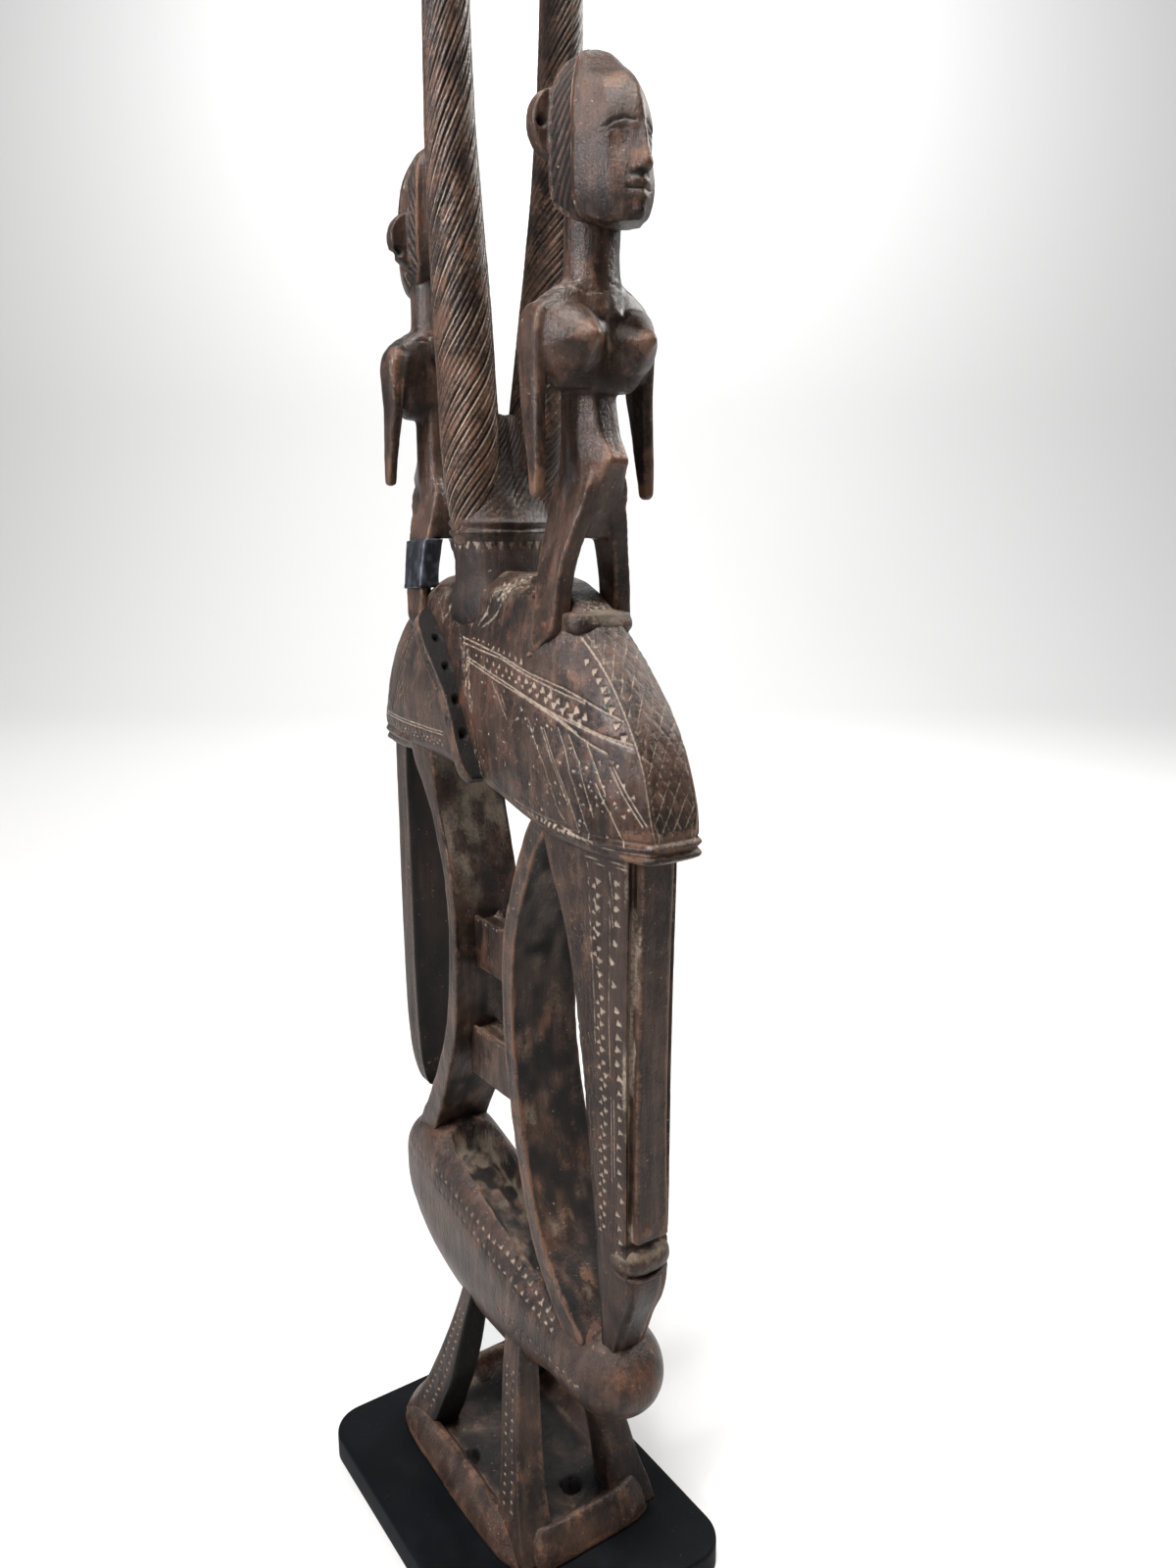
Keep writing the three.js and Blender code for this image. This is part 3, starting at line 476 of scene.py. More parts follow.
# Head, muzzles and ears. Rows of the head: x, underside, top, half width at the base, flank and crown
headMass = {
    "rearRings": 122, "frontRings": 214, "split": 7,  # the number of the row where the two runs meet
    "rows": [[-106.5, 361, 366, 3, 4, 3], [-105.5, 358, 373, 7, 8, 6], [-102.5, 356, 385, 11, 12, 8.5],
             [-95, 356, 402, 14, 15.5, 10.5], [-80, 356, 418, 17.5, 18.5, 12], [-62, 357, 431, 19.5, 21, 13],
             [-40, 358, 440, 21, 22.5, 14.5], [-10, 356, 443, 22, 24, 15.5], [20, 350, 443, 22.3, 24.5, 16],
             [45, 344, 441, 22.5, 24.5, 15.5], [62, 341.5, 434, 22, 23.5, 13.5],
             [76, 340.5, 424, 21, 22.3, 11.5], [90, 340, 411, 19.5, 20.3, 11], [103, 340, 393.5, 16.5, 17, 11],
             [111, 340, 378, 14, 14, 11], [115.5, 340.8, 362, 12, 12, 11.2], [117, 342.4, 350, 9.6, 9.6, 9.4],
             [117.3, 344, 346, 7, 7, 6.8]],
    "lines": [[(-5, 416), (28, 411), (50, 405.6), (70, 401.6), (84, 397.4), (100, 392)],
              [(-4, 413.6), (30, 409.4), (50, 404.2), (66, 400.6), (82, 397)],
              [(0, 408), (25, 402.6), (40, 399), (60, 393.6), (75, 389.6), (88, 386.6), (107, 382.6)],
              [(1, 406.4), (18, 402.8), (30, 400), (50, 395.6), (68, 390), (82, 384.6), (96, 380)],
              [(75, 390.6), (92, 386.4), (108, 384)], [(54, 395.2), (66, 391.6), (80, 386)]],
    "slants": [[(52.5, 388), (58, 380), (63, 373.5), (68, 363), (72, 355), (75, 352)],
               [(62, 386), (70, 375), (75, 367), (80, 358), (84, 348.5)],
               [(60.5, 386), (68.5, 375), (73.5, 367), (78.5, 358)],
               [(70, 387), (77, 377), (82, 367), (86, 357), (90, 347.5)],
               [(76, 385), (84, 375), (88, 367), (92, 356)], [(86, 383), (93, 373), (98, 365)],
               [(93, 369), (101, 357), (107, 347)], [(98, 375.5), (105, 366), (113.5, 355.5)],
               [(99.6, 375.5), (107, 366), (115, 356)], [(28, 397), (33, 391), (38, 386)],
               [(32, 395), (37, 389.5)], [(24, 400), (28, 395.5)], [(70, 349.6), (80, 347.8), (92, 346.4)],
               [(40, 353.4), (56, 351), (70, 349.8)]],
    "crownMarks": [(78.5, 412.4), (83, 409), (86, 406), (89, 403), (91.5, 399.6), (94.5, 396), (98, 390.6),
                   (102, 386.6)],
    "loose": [(60, 378), (64, 387), (66.5, 386), (51, 388), (66, 361), (71, 366), (73, 358), (61, 353),
              (74, 374), (82, 372), (76, 362), (79, 360.5), (85, 353), (86, 367), (88, 374), (91, 359),
              (84, 351.5), (94, 361), (98, 349.5), (101, 376), (105, 369.5), (102, 363), (106, 358.5),
              (109, 366), (108, 361), (56, 384), (48, 391), (45, 387), (57, 370), (53, 362), (78, 380),
              (90, 367)],
    "scratched": [  # strength, half width, then the path, spread, count, lengths and seed of loose scratches
        (0.9, 0.6, [(-5, 417), (0, 403), (5, 390), (8, 378), (10, 366), (12, 356)], 3.2, 34, (5, 15), 8),
        (0.5, 0.5, [(20, 425), (60, 415)], 12, 22, (3, 9), 9),
        (0.4, 0.5, [(14, 372), (100, 372)], 20, 70, (2, 5), 12)],
    "markRows": [  # path, gap, sizes, turn and seed
        ([(3, 417), (18, 414.4), (36, 411.8), (48, 408.6)], 4.4, (2, 2.8), 90, 61),
        ([(6, 410.4), (30, 406.2), (56, 401), (87, 391.4)], 5.1, (2, 4.4), 96, 62),
        ([(14, 405), (36, 402.4), (58, 396.8), (84, 388.9)], 5.1, (1.8, 4.2), -84, 63),
        ([(40, 350.6), (56, 349.4), (74, 347.4), (94, 346)], 3.1, (2.2, 3.4), 15, 64)],
    "mound": [(-24, -19), (-8, -20), (8, -18), (22, -15), (34, -10)],
    "frontMound": [(58, -12), (66, -2), (70, 8)],
    "hatchGap": 8.6, "lineDeep": 0.4, "markDeep": 0.5, "ridge": 1.1,
}


# Marks of the flank, drawn in its side view (x along, z up): lines, fine strokes and chisel marks
def flankMarks(x, z, v):
    pick = np.random.default_rng(5)
    lines = strokes(x, z, v["lines"], 0.75)
    fine = strokes(x, z, v["slants"], 0.62)
    for strength, width, *loose in v["scratched"]:
        fine = np.maximum(fine, strength * strokes(x, z, scratches(*loose), width))
    marks = [mark for row in v["markRows"] for mark in markRow(*row)]
    marks += [(a, b, 3.6 + 0.01 * k * k, 35) for k, (a, b) in enumerate(v["crownMarks"])]
    marks += [(a, b, pick.uniform(1.7, 2.5), pick.uniform(0, 360)) for a, b in v["loose"]]
    spots = pick.uniform([10, 352], [104, 402], (150, 2))
    low = 352 + np.clip(50 - spots[:, 0], 0, 40) * 0.25
    high = 401 - np.clip(spots[:, 0] - 20, 0, 90) * 0.24
    spots = spots[(spots[:, 1] > low) & (spots[:, 1] < high)]
    marks += [(a, b, pick.uniform(1.0, 1.6), pick.uniform(0, 360)) for a, b in spots]
    return lines, fine, triangles(x, z, marks)


# The rear dome carries a band of chevrons between two lines, and fine slanting tool marks
def rearMarks(x, z):
    away = np.abs((x / 4.4) % 1 - 0.5) * 4.4
    chevron = unit(1 - np.abs((z - 367.2) - (away - 1.1) * 1.5) / 0.8) * (z > 364) * (z < 370.4)
    lines = strokes(x, z, [[(-104, 371.2), (-20, 371)], [(-104, 372.6), (-20, 372.4)]], 0.6)
    fine = np.maximum(comb((x - 0.55 * z) / 3.4, 3, 0.9), comb((x - 0.9 * z) / 5.3 + 0.3, 4, 0.8)) * ramp(z, 373.4, 376)
    return np.maximum(chevron, lines) * fall(x, -24, -18), fine * fall(x, -30, -20)


# The head is a run of fourteen-cornered sections along X, with a double ridge round the lower rim
def makeHead(v):
    rear = evenRows(v["rows"][:v["split"] + 1], v["rearRings"], [0, 2, 5])
    front = evenRows(v["rows"][v["split"]:], v["frontRings"], [0, 2, 5])
    x, low, high, base, flank, crown = np.concatenate([rear[:-1], front]).T
    rise = high - low
    side = [(0 * x, low), (0.8 * base, low), (base, low + 0.07 * rise), (flank, low + 0.38 * rise),
            (0.45 * flank + 0.55 * crown, low + 0.76 * rise), (crown, low + 0.93 * rise), (0.5 * crown, high),
            (0 * x, high)]
    corners = [stack(x, -y, z) for y, z in side] + [stack(x, y, z) for y, z in side[-2:0:-1]]
    points = cornerRings(np.stack(corners, axis=1), [4, 4, 50, 64, 24, 9, 10, 10, 9, 14, 28, 24, 4, 4], 4)
    px, py, pz = np.moveaxis(points, 2, 0)
    low, rise, crown = low[:, None], rise[:, None], crown[:, None]
    patchy = lambda mean, spread, size, seed, least=0: np.clip(mean + spread * lumps(points, size, seed), least, 1)

    # flank and rear dome
    aside = np.abs(py) / np.maximum(crown, 2)
    sidewise = ramp(aside, 0.98, 1.06) * ramp(pz - low, 2, 5)
    lines, fine, marks = (m * sidewise for m in flankMarks(px, pz, v))
    rear, tooled = (m * sidewise for m in rearMarks(px + 0.8 * lumps(points, 14, 66), pz))
    tooled = tooled * ramp(lumps(points, [9, 9, 9], 67), -0.4, 0.5)

    # slanting front facet: two crossed sets of lines between two lines along its edges
    way = wayAlong(np.diff(x), np.diff(high))[:, None]
    facet = fall(aside, 0.9, 1.0) * ramp(px, 66, 70)
    hatch = 0
    for slope, offset in ((1.6, 0), (-1.7, 3.1)):
        phase = (way + slope * py + offset + 1.4 * lumps(points, 16, 71)) / v["hatchGap"]
        crossed = comb(phase, v["hatchGap"] / math.hypot(1, slope), 0.85) * patchy(0.95, 0.5, 6, 72, 0.5)
        hatch = np.maximum(hatch, crossed)
    ends = np.maximum(ramp(pz, 392, 400), fall(pz, 362, 372))
    hatch = hatch * facet * ramp(pz, 347, 349) * (0.9 + 0.1 * ends)
    inset = crown - np.abs(py)
    edgePair = np.maximum(unit(1 - np.abs(inset - 0.2) / 0.7), unit(1 - np.abs(inset - 2.1) / 0.6))
    edgePair = edgePair * ramp(px, 70, 74) * ramp(pz, 346, 350) * (pz > low + 0.72 * rise)

    # double rim, with a pale thread in its groove
    frontRim, rearRim = ramp(px, 54, 58), fall(px, -66, -60)
    level = pz - np.where(px > 0, 342.6, 358.8) - 0.5 * lumps(points, 20, 77)
    ridges = (bell(level - 0.2, 1.1) + bell(level - 4.4, 1.1)) * (frontRim + 0.8 * rearRim)
    groove = (bell(level - 2.3, 0.7) + bell(level - 6.6, 0.7)) * (frontRim + 0.6 * rearRim)
    thread = bell(level - 2.3, 0.5) * frontRim * patchy(0.7, 0.7, 5, 68)

    # dusty crown with a wispy mound round the collar's foot
    onCrown = ramp(pz, 416, 424)
    wisps = scratches(v["mound"], 3.4, 44, (4, 14), 14) + scratches(v["frontMound"], 4, 26, (4, 9), 15)
    mound = strokes(px, py, wisps, 0.55) * onCrown
    crest = strokes(px, py, [v["mound"]], 1.8) * onCrown * patchy(0.7, 0.7, 3.5, 69)
    top = ramp(pz, 426, 436) * fall(np.abs(px), 50, 64)

    cut = np.maximum.reduce([0.9 * lines, 0.8 * fine, marks, 0.68 * hatch, 0.8 * edgePair, 0.7 * mound, rear,
                             0.6 * tooled, 0.7 * thread])
    depth = v["lineDeep"] * (lines + 0.8 * fine + 0.7 * hatch + edgePair + 0.7 * mound + 0.8 * rear + 0.9 * tooled)
    depth = depth + v["markDeep"] * marks + 0.5 * groove - v["ridge"] * ridges
    depth = depth + 0.35 * lumps(points, 24, 73) + 0.12 * lumps(points, 6, 74) + 0.05 * lumps(points, 2.4, 78)
    points = carve(points, depth + top * 0.5 * lumps(points, 7, 75) - 0.5 * crest)
    dusty = 0.6 * crest + top * (0.45 + 0.5 * lumps(points, 9, 76)) + 0.3 * facet + 0.5 * groove
    brown = 0.5 * ramp(px, 10, 60) * sidewise * ramp(lumps(points, 16, 79), -0.4, 0.6)
    brown = brown + 0.9 * ramp(px, 98, 110) * fall(pz, 350, 358)
    # painted shade: a dark patch on the lower flank round the lower end of the big ear, with nothing cut there
    shadedNotch = np.exp(-(((px - 8) / 9) ** 2 + ((pz - 357) / 7) ** 2)) * sidewise
    return surface(points, 0.4, cut=unit(cut), dust=unit(dusty + 0.25 * sidewise * ramp(-px, 20, 30)),
                   wear=unit(brown) - 0.7 * unit(ridges), dark=unit(0.7 * shadedNotch + 0.5 * groove),
                   gloss=sidewise * ramp(px, 0, 40) * (0.4 + 0.8 * ramp(px, 84, 94)))


# Rows of a muzzle: z, then the distance out and the half width of its inner face, its flank's front
# edge and its nose bar
muzzles = {
    "rings": {"front": 290, "rear": 150},
    "front": [[352, 51, 18, 104, 11.5, 107.6, 7.2], [333, 56, 17.3, 104, 11.5, 107.4, 7.2],
              [308, 66.5, 16.5, 103.5, 11.4, 106.2, 7.2], [284, 72.5, 16, 103, 11.3, 105.5, 7.2],
              [248, 78, 15.2, 102.5, 11.2, 105.2, 7.2], [207, 82.5, 14.4, 102.5, 11, 105.3, 7.4],
              [184, 84, 13.8, 102.5, 11, 106.4, 7.8], [181, 84.2, 13.6, 102.3, 11, 105.9, 7.6],
              [178, 84.5, 13.4, 102.2, 10.9, 103, 6.8], [160, 85.5, 13, 102.3, 10.5, 103.6, 6.5],
              [149, 86, 12.3, 100, 10, 101.5, 6], [138, 86, 11.5, 95.5, 9, 97, 5.5], [118, 84, 9, 89, 8, 90, 5]],
    "rear": [[372, 78, 13, 99, 9, 104, 5.4], [340, 81, 12.5, 100, 9, 105, 5.4],
             [300, 80.5, 12, 100, 9, 104.8, 5.6], [247, 79.5, 12, 98.8, 9.4, 103.2, 6.2],
             [214, 79, 11.5, 96.5, 9.8, 101, 6.8], [192, 78.5, 10.5, 93.8, 9.2, 97.9, 6.5],
             [182, 78.4, 9.2, 91.4, 8.2, 95.2, 6], [175, 79, 7, 88.8, 6.4, 91.8, 4.6],
             [172, 81, 4, 86.5, 3.6, 88, 2.8], [171.4, 83, 1, 85, 1, 85.4, 0.8]],
    "innerColumn": [(86.6, 331), (87, 309), (88.6, 289), (90, 265), (91, 249), (91, 224), (90.6, 197), (90, 178)],
    "outerColumn": [(97.4, 330), (97.6, 325), (97.4, 320), (97.6, 314), (96.6, 306), (95, 298), (96, 289),
                    (97.6, 279), (98.6, 274), (98.2, 268), (98, 263), (97.8, 257), (99, 251), (99, 245),
                    (99, 239.5), (99.4, 234), (99.6, 228.5), (98.6, 222), (98.6, 216.5), (99, 211), (99, 205),
                    (100.4, 199), (98, 192), (99, 186), (99.6, 180), (97.6, 174)],
    "fibreBand": [(70, 334), (78, 300), (82, 240), (85, 170)],
    "lines": [[(80.6, 334), (82.6, 308), (84.4, 284), (85.4, 262)],
              [(93.4, 334), (93.4, 306), (92.8, 280), (93.6, 250)], [(94.8, 334), (94.8, 312)],
              [(94, 242), (94.6, 205)], [(95.6, 242), (96, 208)], [(80, 335), (92, 336), (103, 336.6)],
              [(78, 337), (103, 338.4)]],
}


# A muzzle is an eight-cornered section carried down: inner face, flank, hollow groove and nose bar.
# Only the front one has the band of fibres, the triangles, the lines, the mouth slit and the worn nose
def makeMuzzle(v, which, side):
    front = side > 0
    z, innerX, innerY, faceX, faceY, noseX, noseY = evenRows(v[which], v["rings"][which], [0, 3]).T
    groove = faceX - 0.2 - 2.3 * (ramp(z, 179, 184) if front else 1)
    outline = [(innerX, innerY), (faceX, faceY), (groove, noseY + 0.8), (noseX, noseY)]
    corners = [stack(side * a, -b, z) for a, b in outline] + [stack(side * a, b, z) for a, b in outline[::-1]]
    steps = [54, 8, 6, 18, 6, 8, 26, 14] if front else [24, 4, 4, 8, 4, 4, 18, 10]
    points = cornerRings(np.stack(corners, axis=1), steps, 1)
    px, py, pz = np.moveaxis(points, 2, 0)
    innerX, faceX, faceY, noseX, noseY = (column[:, None] for column in (innerX, faceX, faceY, noseX, noseY))
    out = side * px
    flank = ramp(np.abs(py), faceY - 0.4, faceY + 0.2) * (out < faceX - 0.6)
    strip = lines = fibres = slit = bump = rubbed = 0 * flank
    if front:
        strip = flank * fall(out - np.interp(pz, [160, 250, 335], [88, 86, 81]), 0, 1)
        marks = markRow(v["innerColumn"], 5.2, (3.9, 3.3), 8, 81, 0.35)
        marks += [(a - 2.9, b - 2.6, 2.9, 200) for a, b, _, _ in marks if b < 286 or b > 300]
        marks += [(a, b, 4.2 if b > 250 else 3.5, -12) for a, b in v["outerColumn"]]
        marks = triangles(px, pz, marks) * flank
        lines = strokes(px, pz, v["lines"], 0.6) * flank
        fibres = strokes(px, pz, scratches(v["fibreBand"], 6, 130, (4, 12), 86), 0.5) * strip
        slit = 0.8 * bell(pz - 178.6, 1.6) * ramp(out, 99, 101)
        bump = np.exp(-((py + 3.4) ** 2 + (pz - 186) ** 2) / 5) * (out > 104)
        rubbed = 0.7 * bell(pz - 184, 2.2) * (out > 104) * ramp(py, 0, 4)
    else:
        marks = dots(px, pz, [(-84 - 0.012 * (a - 170), a) for a in np.arange(178, 350, 5.2)], 1.7) * flank * 0.8
    hollow = ((out > faceX - 2.8) & (np.abs(py) > noseY - 0.4)) * ramp(pz, 178, 184)
    streaks = lumps(points, [3, 3, 26], 87) + 0.5 * lumps(points, [2, 2, 7], 88)
    scuff = blurGrid(hollow.astype(float), 2) * ramp(streaks, -0.5, 0.35)
    depth = 0.5 * marks + 0.35 * lines + 0.3 * fibres + 0.9 * slit - 1.1 * bump
    points = carve(points, depth + 0.25 * lumps(points, [5, 5, 30], 84) + 0.07 * lumps(points, [2.5, 2.5, 6], 85))
    farEdge = ramp(py, noseY - 2.2, noseY - 0.8) * (out > noseX - 2.5)
    # painted shade: the inner face, turned towards the middle of the carving, and the whole flank are painted darker
    inner = fall(out - innerX, 0, 1.5) * (0.65 + 0.4 * lumps(points, [7, 7, 26], 83))
    wear = farEdge + 0.55 * strip * ramp(lumps(points, [8, 8, 30], 89), -0.5, 0.5) + bump + rubbed
    cut = np.maximum.reduce([marks, 0.8 * lines, 0.45 * fibres, 0.6 * scuff])
    return surface(points, 0.3, cut=unit(cut), dust=0.3 * strip, wear=unit(wear), dark=unit(slit + inner + 0.4 * flank),
                   gloss=0.3 * flank * (1 - strip))


# Lips: a thick upper and a thin lower roll that wrap the muzzle's end and die out along its sides
def makeLips():
    share = np.linspace(-1, 1, 44)
    angle = np.arange(120) * 2 * math.pi / 120
    aside = np.abs((angle + math.pi) % (2 * math.pi) - math.pi)
    taper = np.cos(np.minimum(aside * 0.62, math.pi / 2)) * fall(aside, 1.5, 2.4)
    level = share[:, None] * (1.8 + 5.4 * taper)
    upper = np.sqrt(unit(1 - ((share - 0.18) / 0.82) ** 2))
    lower = 0.8 * np.sqrt(unit(1 - ((share + 0.82) / 0.18) ** 2))
    roll = np.maximum(upper, lower)[:, None] * (0.4 + 3.9 * taper)
    bulge = lambda v: np.sign(v) * np.abs(v) ** 0.72
    x, y = 94.2 + (8.6 + roll) * bulge(np.cos(angle)), (10.3 + roll * 0.8) * bulge(np.sin(angle))
    points = stack(x, y, 169.6 + level)
    points = carve(points, 0.15 * lumps(points, [6, 3, 2], 90))
    share = share[:, None] + 0 * level
    return surface(points, 0.3, dark=0.9 * unit(bell(share + 0.62, 0.07) + ramp(-share, 0.95, 1)),
                   dust=0.9 * ramp(share, 0, 0.8), wear=0.5 * ramp(share, -0.5, 0) * taper)


# Rows of an ear: x, z, how far out its root is and how far it reaches from there
bigEars = {
    "rows": [[-46, 425, 14, 4.6], [-36, 421, 16, 11], [-24, 412, 17.5, 13.6], [-12, 400, 20, 11.6],
             [-3, 386, 21.5, 9.2], [3, 371, 22, 8.4], [8, 361, 22, 7.8], [10, 356, 21.4, 5]],
    "rings": 80, "thick": 5.5, "bed": 7,
    "holes": [0.26, 0.44, 0.62, 0.78], "holeSize": 4.6, "edgeHoles": [0.4, 0.53, 0.7],
}


# An ear is a flat plate that stands out of the flank along a slanting root line, pierced by conical holes
def makeBigEar(v, side):
    x, z, root, reach = evenRows(v["rows"], v["rings"], [0, 1]).T
    backward = np.array([-0.85, 0, -0.53])
    half = (v["bed"] + reach) / 2
    middle = stack(x, root - v["bed"] + half, z)
    points = cornerRings(boxCorners(middle, backward * v["thick"] / 2, stack(0, half, 0)), [8, 30, 8, 40], 2)
    through = np.sum((points - middle[:, None]) * backward, axis=2)
    black = ramp(-through, 1.2, 2.4)
    free = ramp(points[..., 1] - (root + reach)[:, None], -1.5, -0.3)
    way = wayAlong(np.diff(x), np.diff(z))
    ringAt = lambda share: int(np.argmin(np.abs(np.linspace(0, 1, len(x)) - share)))
    hole = 0
    for k in map(ringAt, v["holes"]):
        away = np.hypot(way[:, None] - way[k], points[..., 1] - (root[k] + 0.42 * reach[k]))
        hole = np.maximum(hole, unit(1.6 * (1 - away / (v["holeSize"] / 2))) * black)
    for k in map(ringAt, v["edgeHoles"]):
        hole = np.maximum(hole, unit(1.5 * (1 - np.hypot(way[:, None] - way[k], through) / 1.3)) * free)
    points = points + backward * (hole * black * 3.4)[..., None] - stack(0, 1.6 * hole * free, 0)
    points = carve(points, 0.25 * lumps(points, 8, 92 + side) * (1 - hole)) * [1, side, 1]
    # painted shade: the hole dents are painted dark, standing in for the shade inside the holes
    return surface(points, 1.0, dark=unit((1 - free) * black * 0.95 + hole), wear=0.55 * free,
                   dust=0.5 * unit(hole * (1 - hole) * 4) + 0.3 * (1 - black) * (1 - free))


# Collar and horns
collar = {
    "rows": [[416, 22, 13], [419, 24.4, 18], [423, 25, 20.2], [428, 23, 21], [434, 19.6, 20.6],
             [441, 17.6, 19.9], [449, 17.4, 19.8], [456.5, 17.9, 20.3], [458.4, 18.8, 21.2], [459.4, 19.6, 22],
             [460.4, 18.8, 21.3], [461.2, 18.2, 20.8], [462.2, 18.9, 21.4], [463.2, 19.6, 22],
             [464.4, 18.8, 21.6], [466.4, 17.8, 21.2], [480, 13, 20], [498, 9, 12], [506, 6.4, 6.6],
             [508, 3.6, 3.4]],
    "rings": 120, "around": 176, "squareness": 2.2, "triangles": 24, "turnRadius": 19, "slope": 0.9, "gap": 3.7,
}


# The collar is a waisted post; a row of teeth hangs under its double ring, and the web above it
# carries slanting cuts that run on into the horns
def makeCollar(v):
    z, halfX, halfY = evenRows(v["rows"], v["rings"], [0, 1]).T
    x = np.interp(z, [466, 480, 498, 507], [-6, -4.5, -3.5, -3])
    points = ovalRings(stack(x, 0, z), [1, 0, 0], [0, 1, 0], halfX, halfY, v["squareness"], v["around"])
    px, py, pz = np.moveaxis(points, 2, 0)
    turn = np.arctan2(py, px - x[:, None]) * v["turnRadius"]
    gap = 2 * math.pi * v["turnRadius"] / v["triangles"]
    local = np.abs(turn / gap - np.round(turn / gap)) * gap
    tooth = unit(((pz - 451.4) * 0.52 - local) / 0.5) * (pz > 451) * fall(pz, 455.6, 456.4)
    tooth = tooth * np.clip(0.8 + 0.6 * lumps(points, 9, 90), 0.2, 1)
    along = (turn - (pz - 466) / v["slope"]) / v["gap"] + 0.2 * lumps(points, 12, 93)
    web = comb(along, v["gap"] * 0.7, 0.85) * ramp(pz, 466.5, 468.5) * np.clip(0.7 + 0.7 * lumps(points, 8, 94), 0.1, 1)
    crotch = bell(py, 1.8) * ramp(pz, 468, 474)
    uneven = 0.35 * lumps(points, 8, 91) + 0.1 * lumps(points, 3, 92)
    points = carve(points, 0.55 * tooth + 0.7 * web + 1.2 * crotch + uneven)
    return surface(points, 1.2, cut=unit(0.85 * tooth), dust=unit(0.6 * crotch + 0.1 * ramp(pz, 488, 502)),
                   dark=0.9 * web + 0.55 * fall(pz, 449, 458) + 0.4 * ramp(pz, 470, 480))


# Rows of a horn: z, x, y and radius. Climb: the grooves' slant in degrees at each level, for the near
# (-1) and the far (1) horn
horns = {
    "rows": [[456, -6.5, 10, 10.5], [470, -5, 12.3, 11.6], [480, -3.8, 13.8, 12.2], [500, -2, 16, 12.5],
             [520, -0.7, 17.7, 12.2], [545, 1.4, 20, 11.9], [580, 2.9, 22.8, 10.9], [610, 3.6, 24.6, 10.2],
             [654, 4.8, 25.6, 9.2], [710, 5, 26.3, 8.3], [768, 2, 27.4, 7.2], [820, -4, 28.9, 6],
             [862, -11, 30.4, 4.7], [886, -16, 31.4, 3.4], [896, -18.4, 32, 2], [898.5, -19, 32.1, 0.8]],
    "rings": {-1: 180, 1: 140}, "grooves": {-1: 16, 1: 14}, "samples": 15, "deep": 0.9, "round": 0.4,
    "climb": {-1: [[456, 44], [480, 42], [520, 36], [560, 31], [620, 26], [700, 21], [900, 16]],
              1: [[456, 46], [520, 42], [580, 38], [640, 33], [720, 26], [900, 19]]},
}


# A horn is a tapering round carried up its line, and its grid turns with the grooves, which climb
# round it like the lay of a rope: narrow valleys of uneven depth between slightly rounded strands
def makeHorn(v, side):
    z, x, y, radius = evenRows(v["rows"], v["rings"][side], [0, 1, 2]).T
    y, near = side * y, side < 0
    climb = np.radians(np.interp(z, *np.array(v["climb"][side]).T))
    lean = stack(np.gradient(x), np.gradient(y), np.gradient(z))
    lean /= np.linalg.norm(lean, axis=1, keepdims=True)
    acrossA = np.cross([0, 1, 0], lean)
    acrossA /= np.linalg.norm(acrossA, axis=1, keepdims=True)
    acrossB = np.cross(lean, acrossA)
    turn = np.concatenate([[0], np.cumsum(np.diff(z) * np.tan(climb[1:]) / np.maximum(radius[1:], 4))])
    grooves = v["grooves"][side]
    strand = np.arange(grooves * v["samples"]) / v["samples"]
    ring = strand[None] * 2 * math.pi / grooves + turn[:, None]
    outward = np.cos(ring)[..., None] * acrossA[:, None] + np.sin(ring)[..., None] * acrossB[:, None]
    points = stack(x, y, z)[:, None] + radius[:, None, None] * outward

    # valleys and the pale or dark line beside each, wandering and fading from strand to strand. On the near horn the
    # pale line beside each groove is a painted highlight and the dark in the valley is painted shade
    strandLumps = lambda length, seed: lumps(stack(10 * np.round(strand)[None], z[:, None] / length, side), 1, seed)
    local = (strand + 0.5) % 1 - 0.5 + 0.17 * strandLumps(26, 96)
    width = np.maximum(0.48 / (2 * math.pi * radius / grooves * np.cos(climb)), 0.08)[:, None]
    fade = ramp(z, 458, 466)[:, None] * (1 - 0.6 * ramp(z, 800, 896)[:, None])
    held = np.clip(0.85 + 0.5 * strandLumps(17, 97), 0.4, 1) * fade
    valley, crest = bell(local, width) * held, bell(local - 1.7 * width, 0.6 * width) * held

    # the near horn has a chip low down, a hatched patch and fine scored lines on its front
    px, py, pz = np.moveaxis(points, 2, 0)
    chip = np.exp(-(((pz - 522) / 4) ** 2 + ((px - 10.5) / 2.4) ** 2)) * near * (py < y[:, None])
    patch = comb((pz * 0.8 - ring * 14) / 4.2, 4.2, 0.8) * ramp(pz, 552, 560) * fall(pz, 584, 592)
    patch = patch * ramp(px, 7, 9) * near
    depth = v["deep"] * valley + v["round"] * fade * (2 * local) ** 2 + 0.5 * chip + 0.3 * patch
    points = carve(points, depth + 0.3 * lumps(points, [12, 12, 26], 95 + side) + 0.08 * lumps(points, [3, 3, 6], 98))
    scored = comb((pz * 0.62 - ring * 14) / 3.1 + 0.4 * lumps(points, 14, 96), 3.1, 0.55) * ramp(px, 5, 8)
    scored = scored * fall(pz, 620, 700) * ramp(lumps(points, [9, 9, 16], 93), -0.3, 0.3) * near
    # near horn: crest is the painted highlight beside each groove, put into the cut and wear masks, and valley is
    # painted dark as painted shade; the far horn has pale valleys and darker crests
    pale, brown = crest if near else valley, 0.35 * ramp(lumps(points, [14, 14, 40], 99), 0, 0.8)
    cut = 0.95 * pale * unit(0.65 + lumps(points, 18, 94)) + 0.7 * patch + 0.4 * chip + 0.6 * scored
    wear = 0.2 * crest + 2 * chip + (0.4 if near else 0.1) * brown
    return surface(points, 0.3, cut=unit(cut), wear=unit(wear), dark=0.95 * valley if near else 0.3 + 0.4 * crest,
                   gloss=1 - valley)


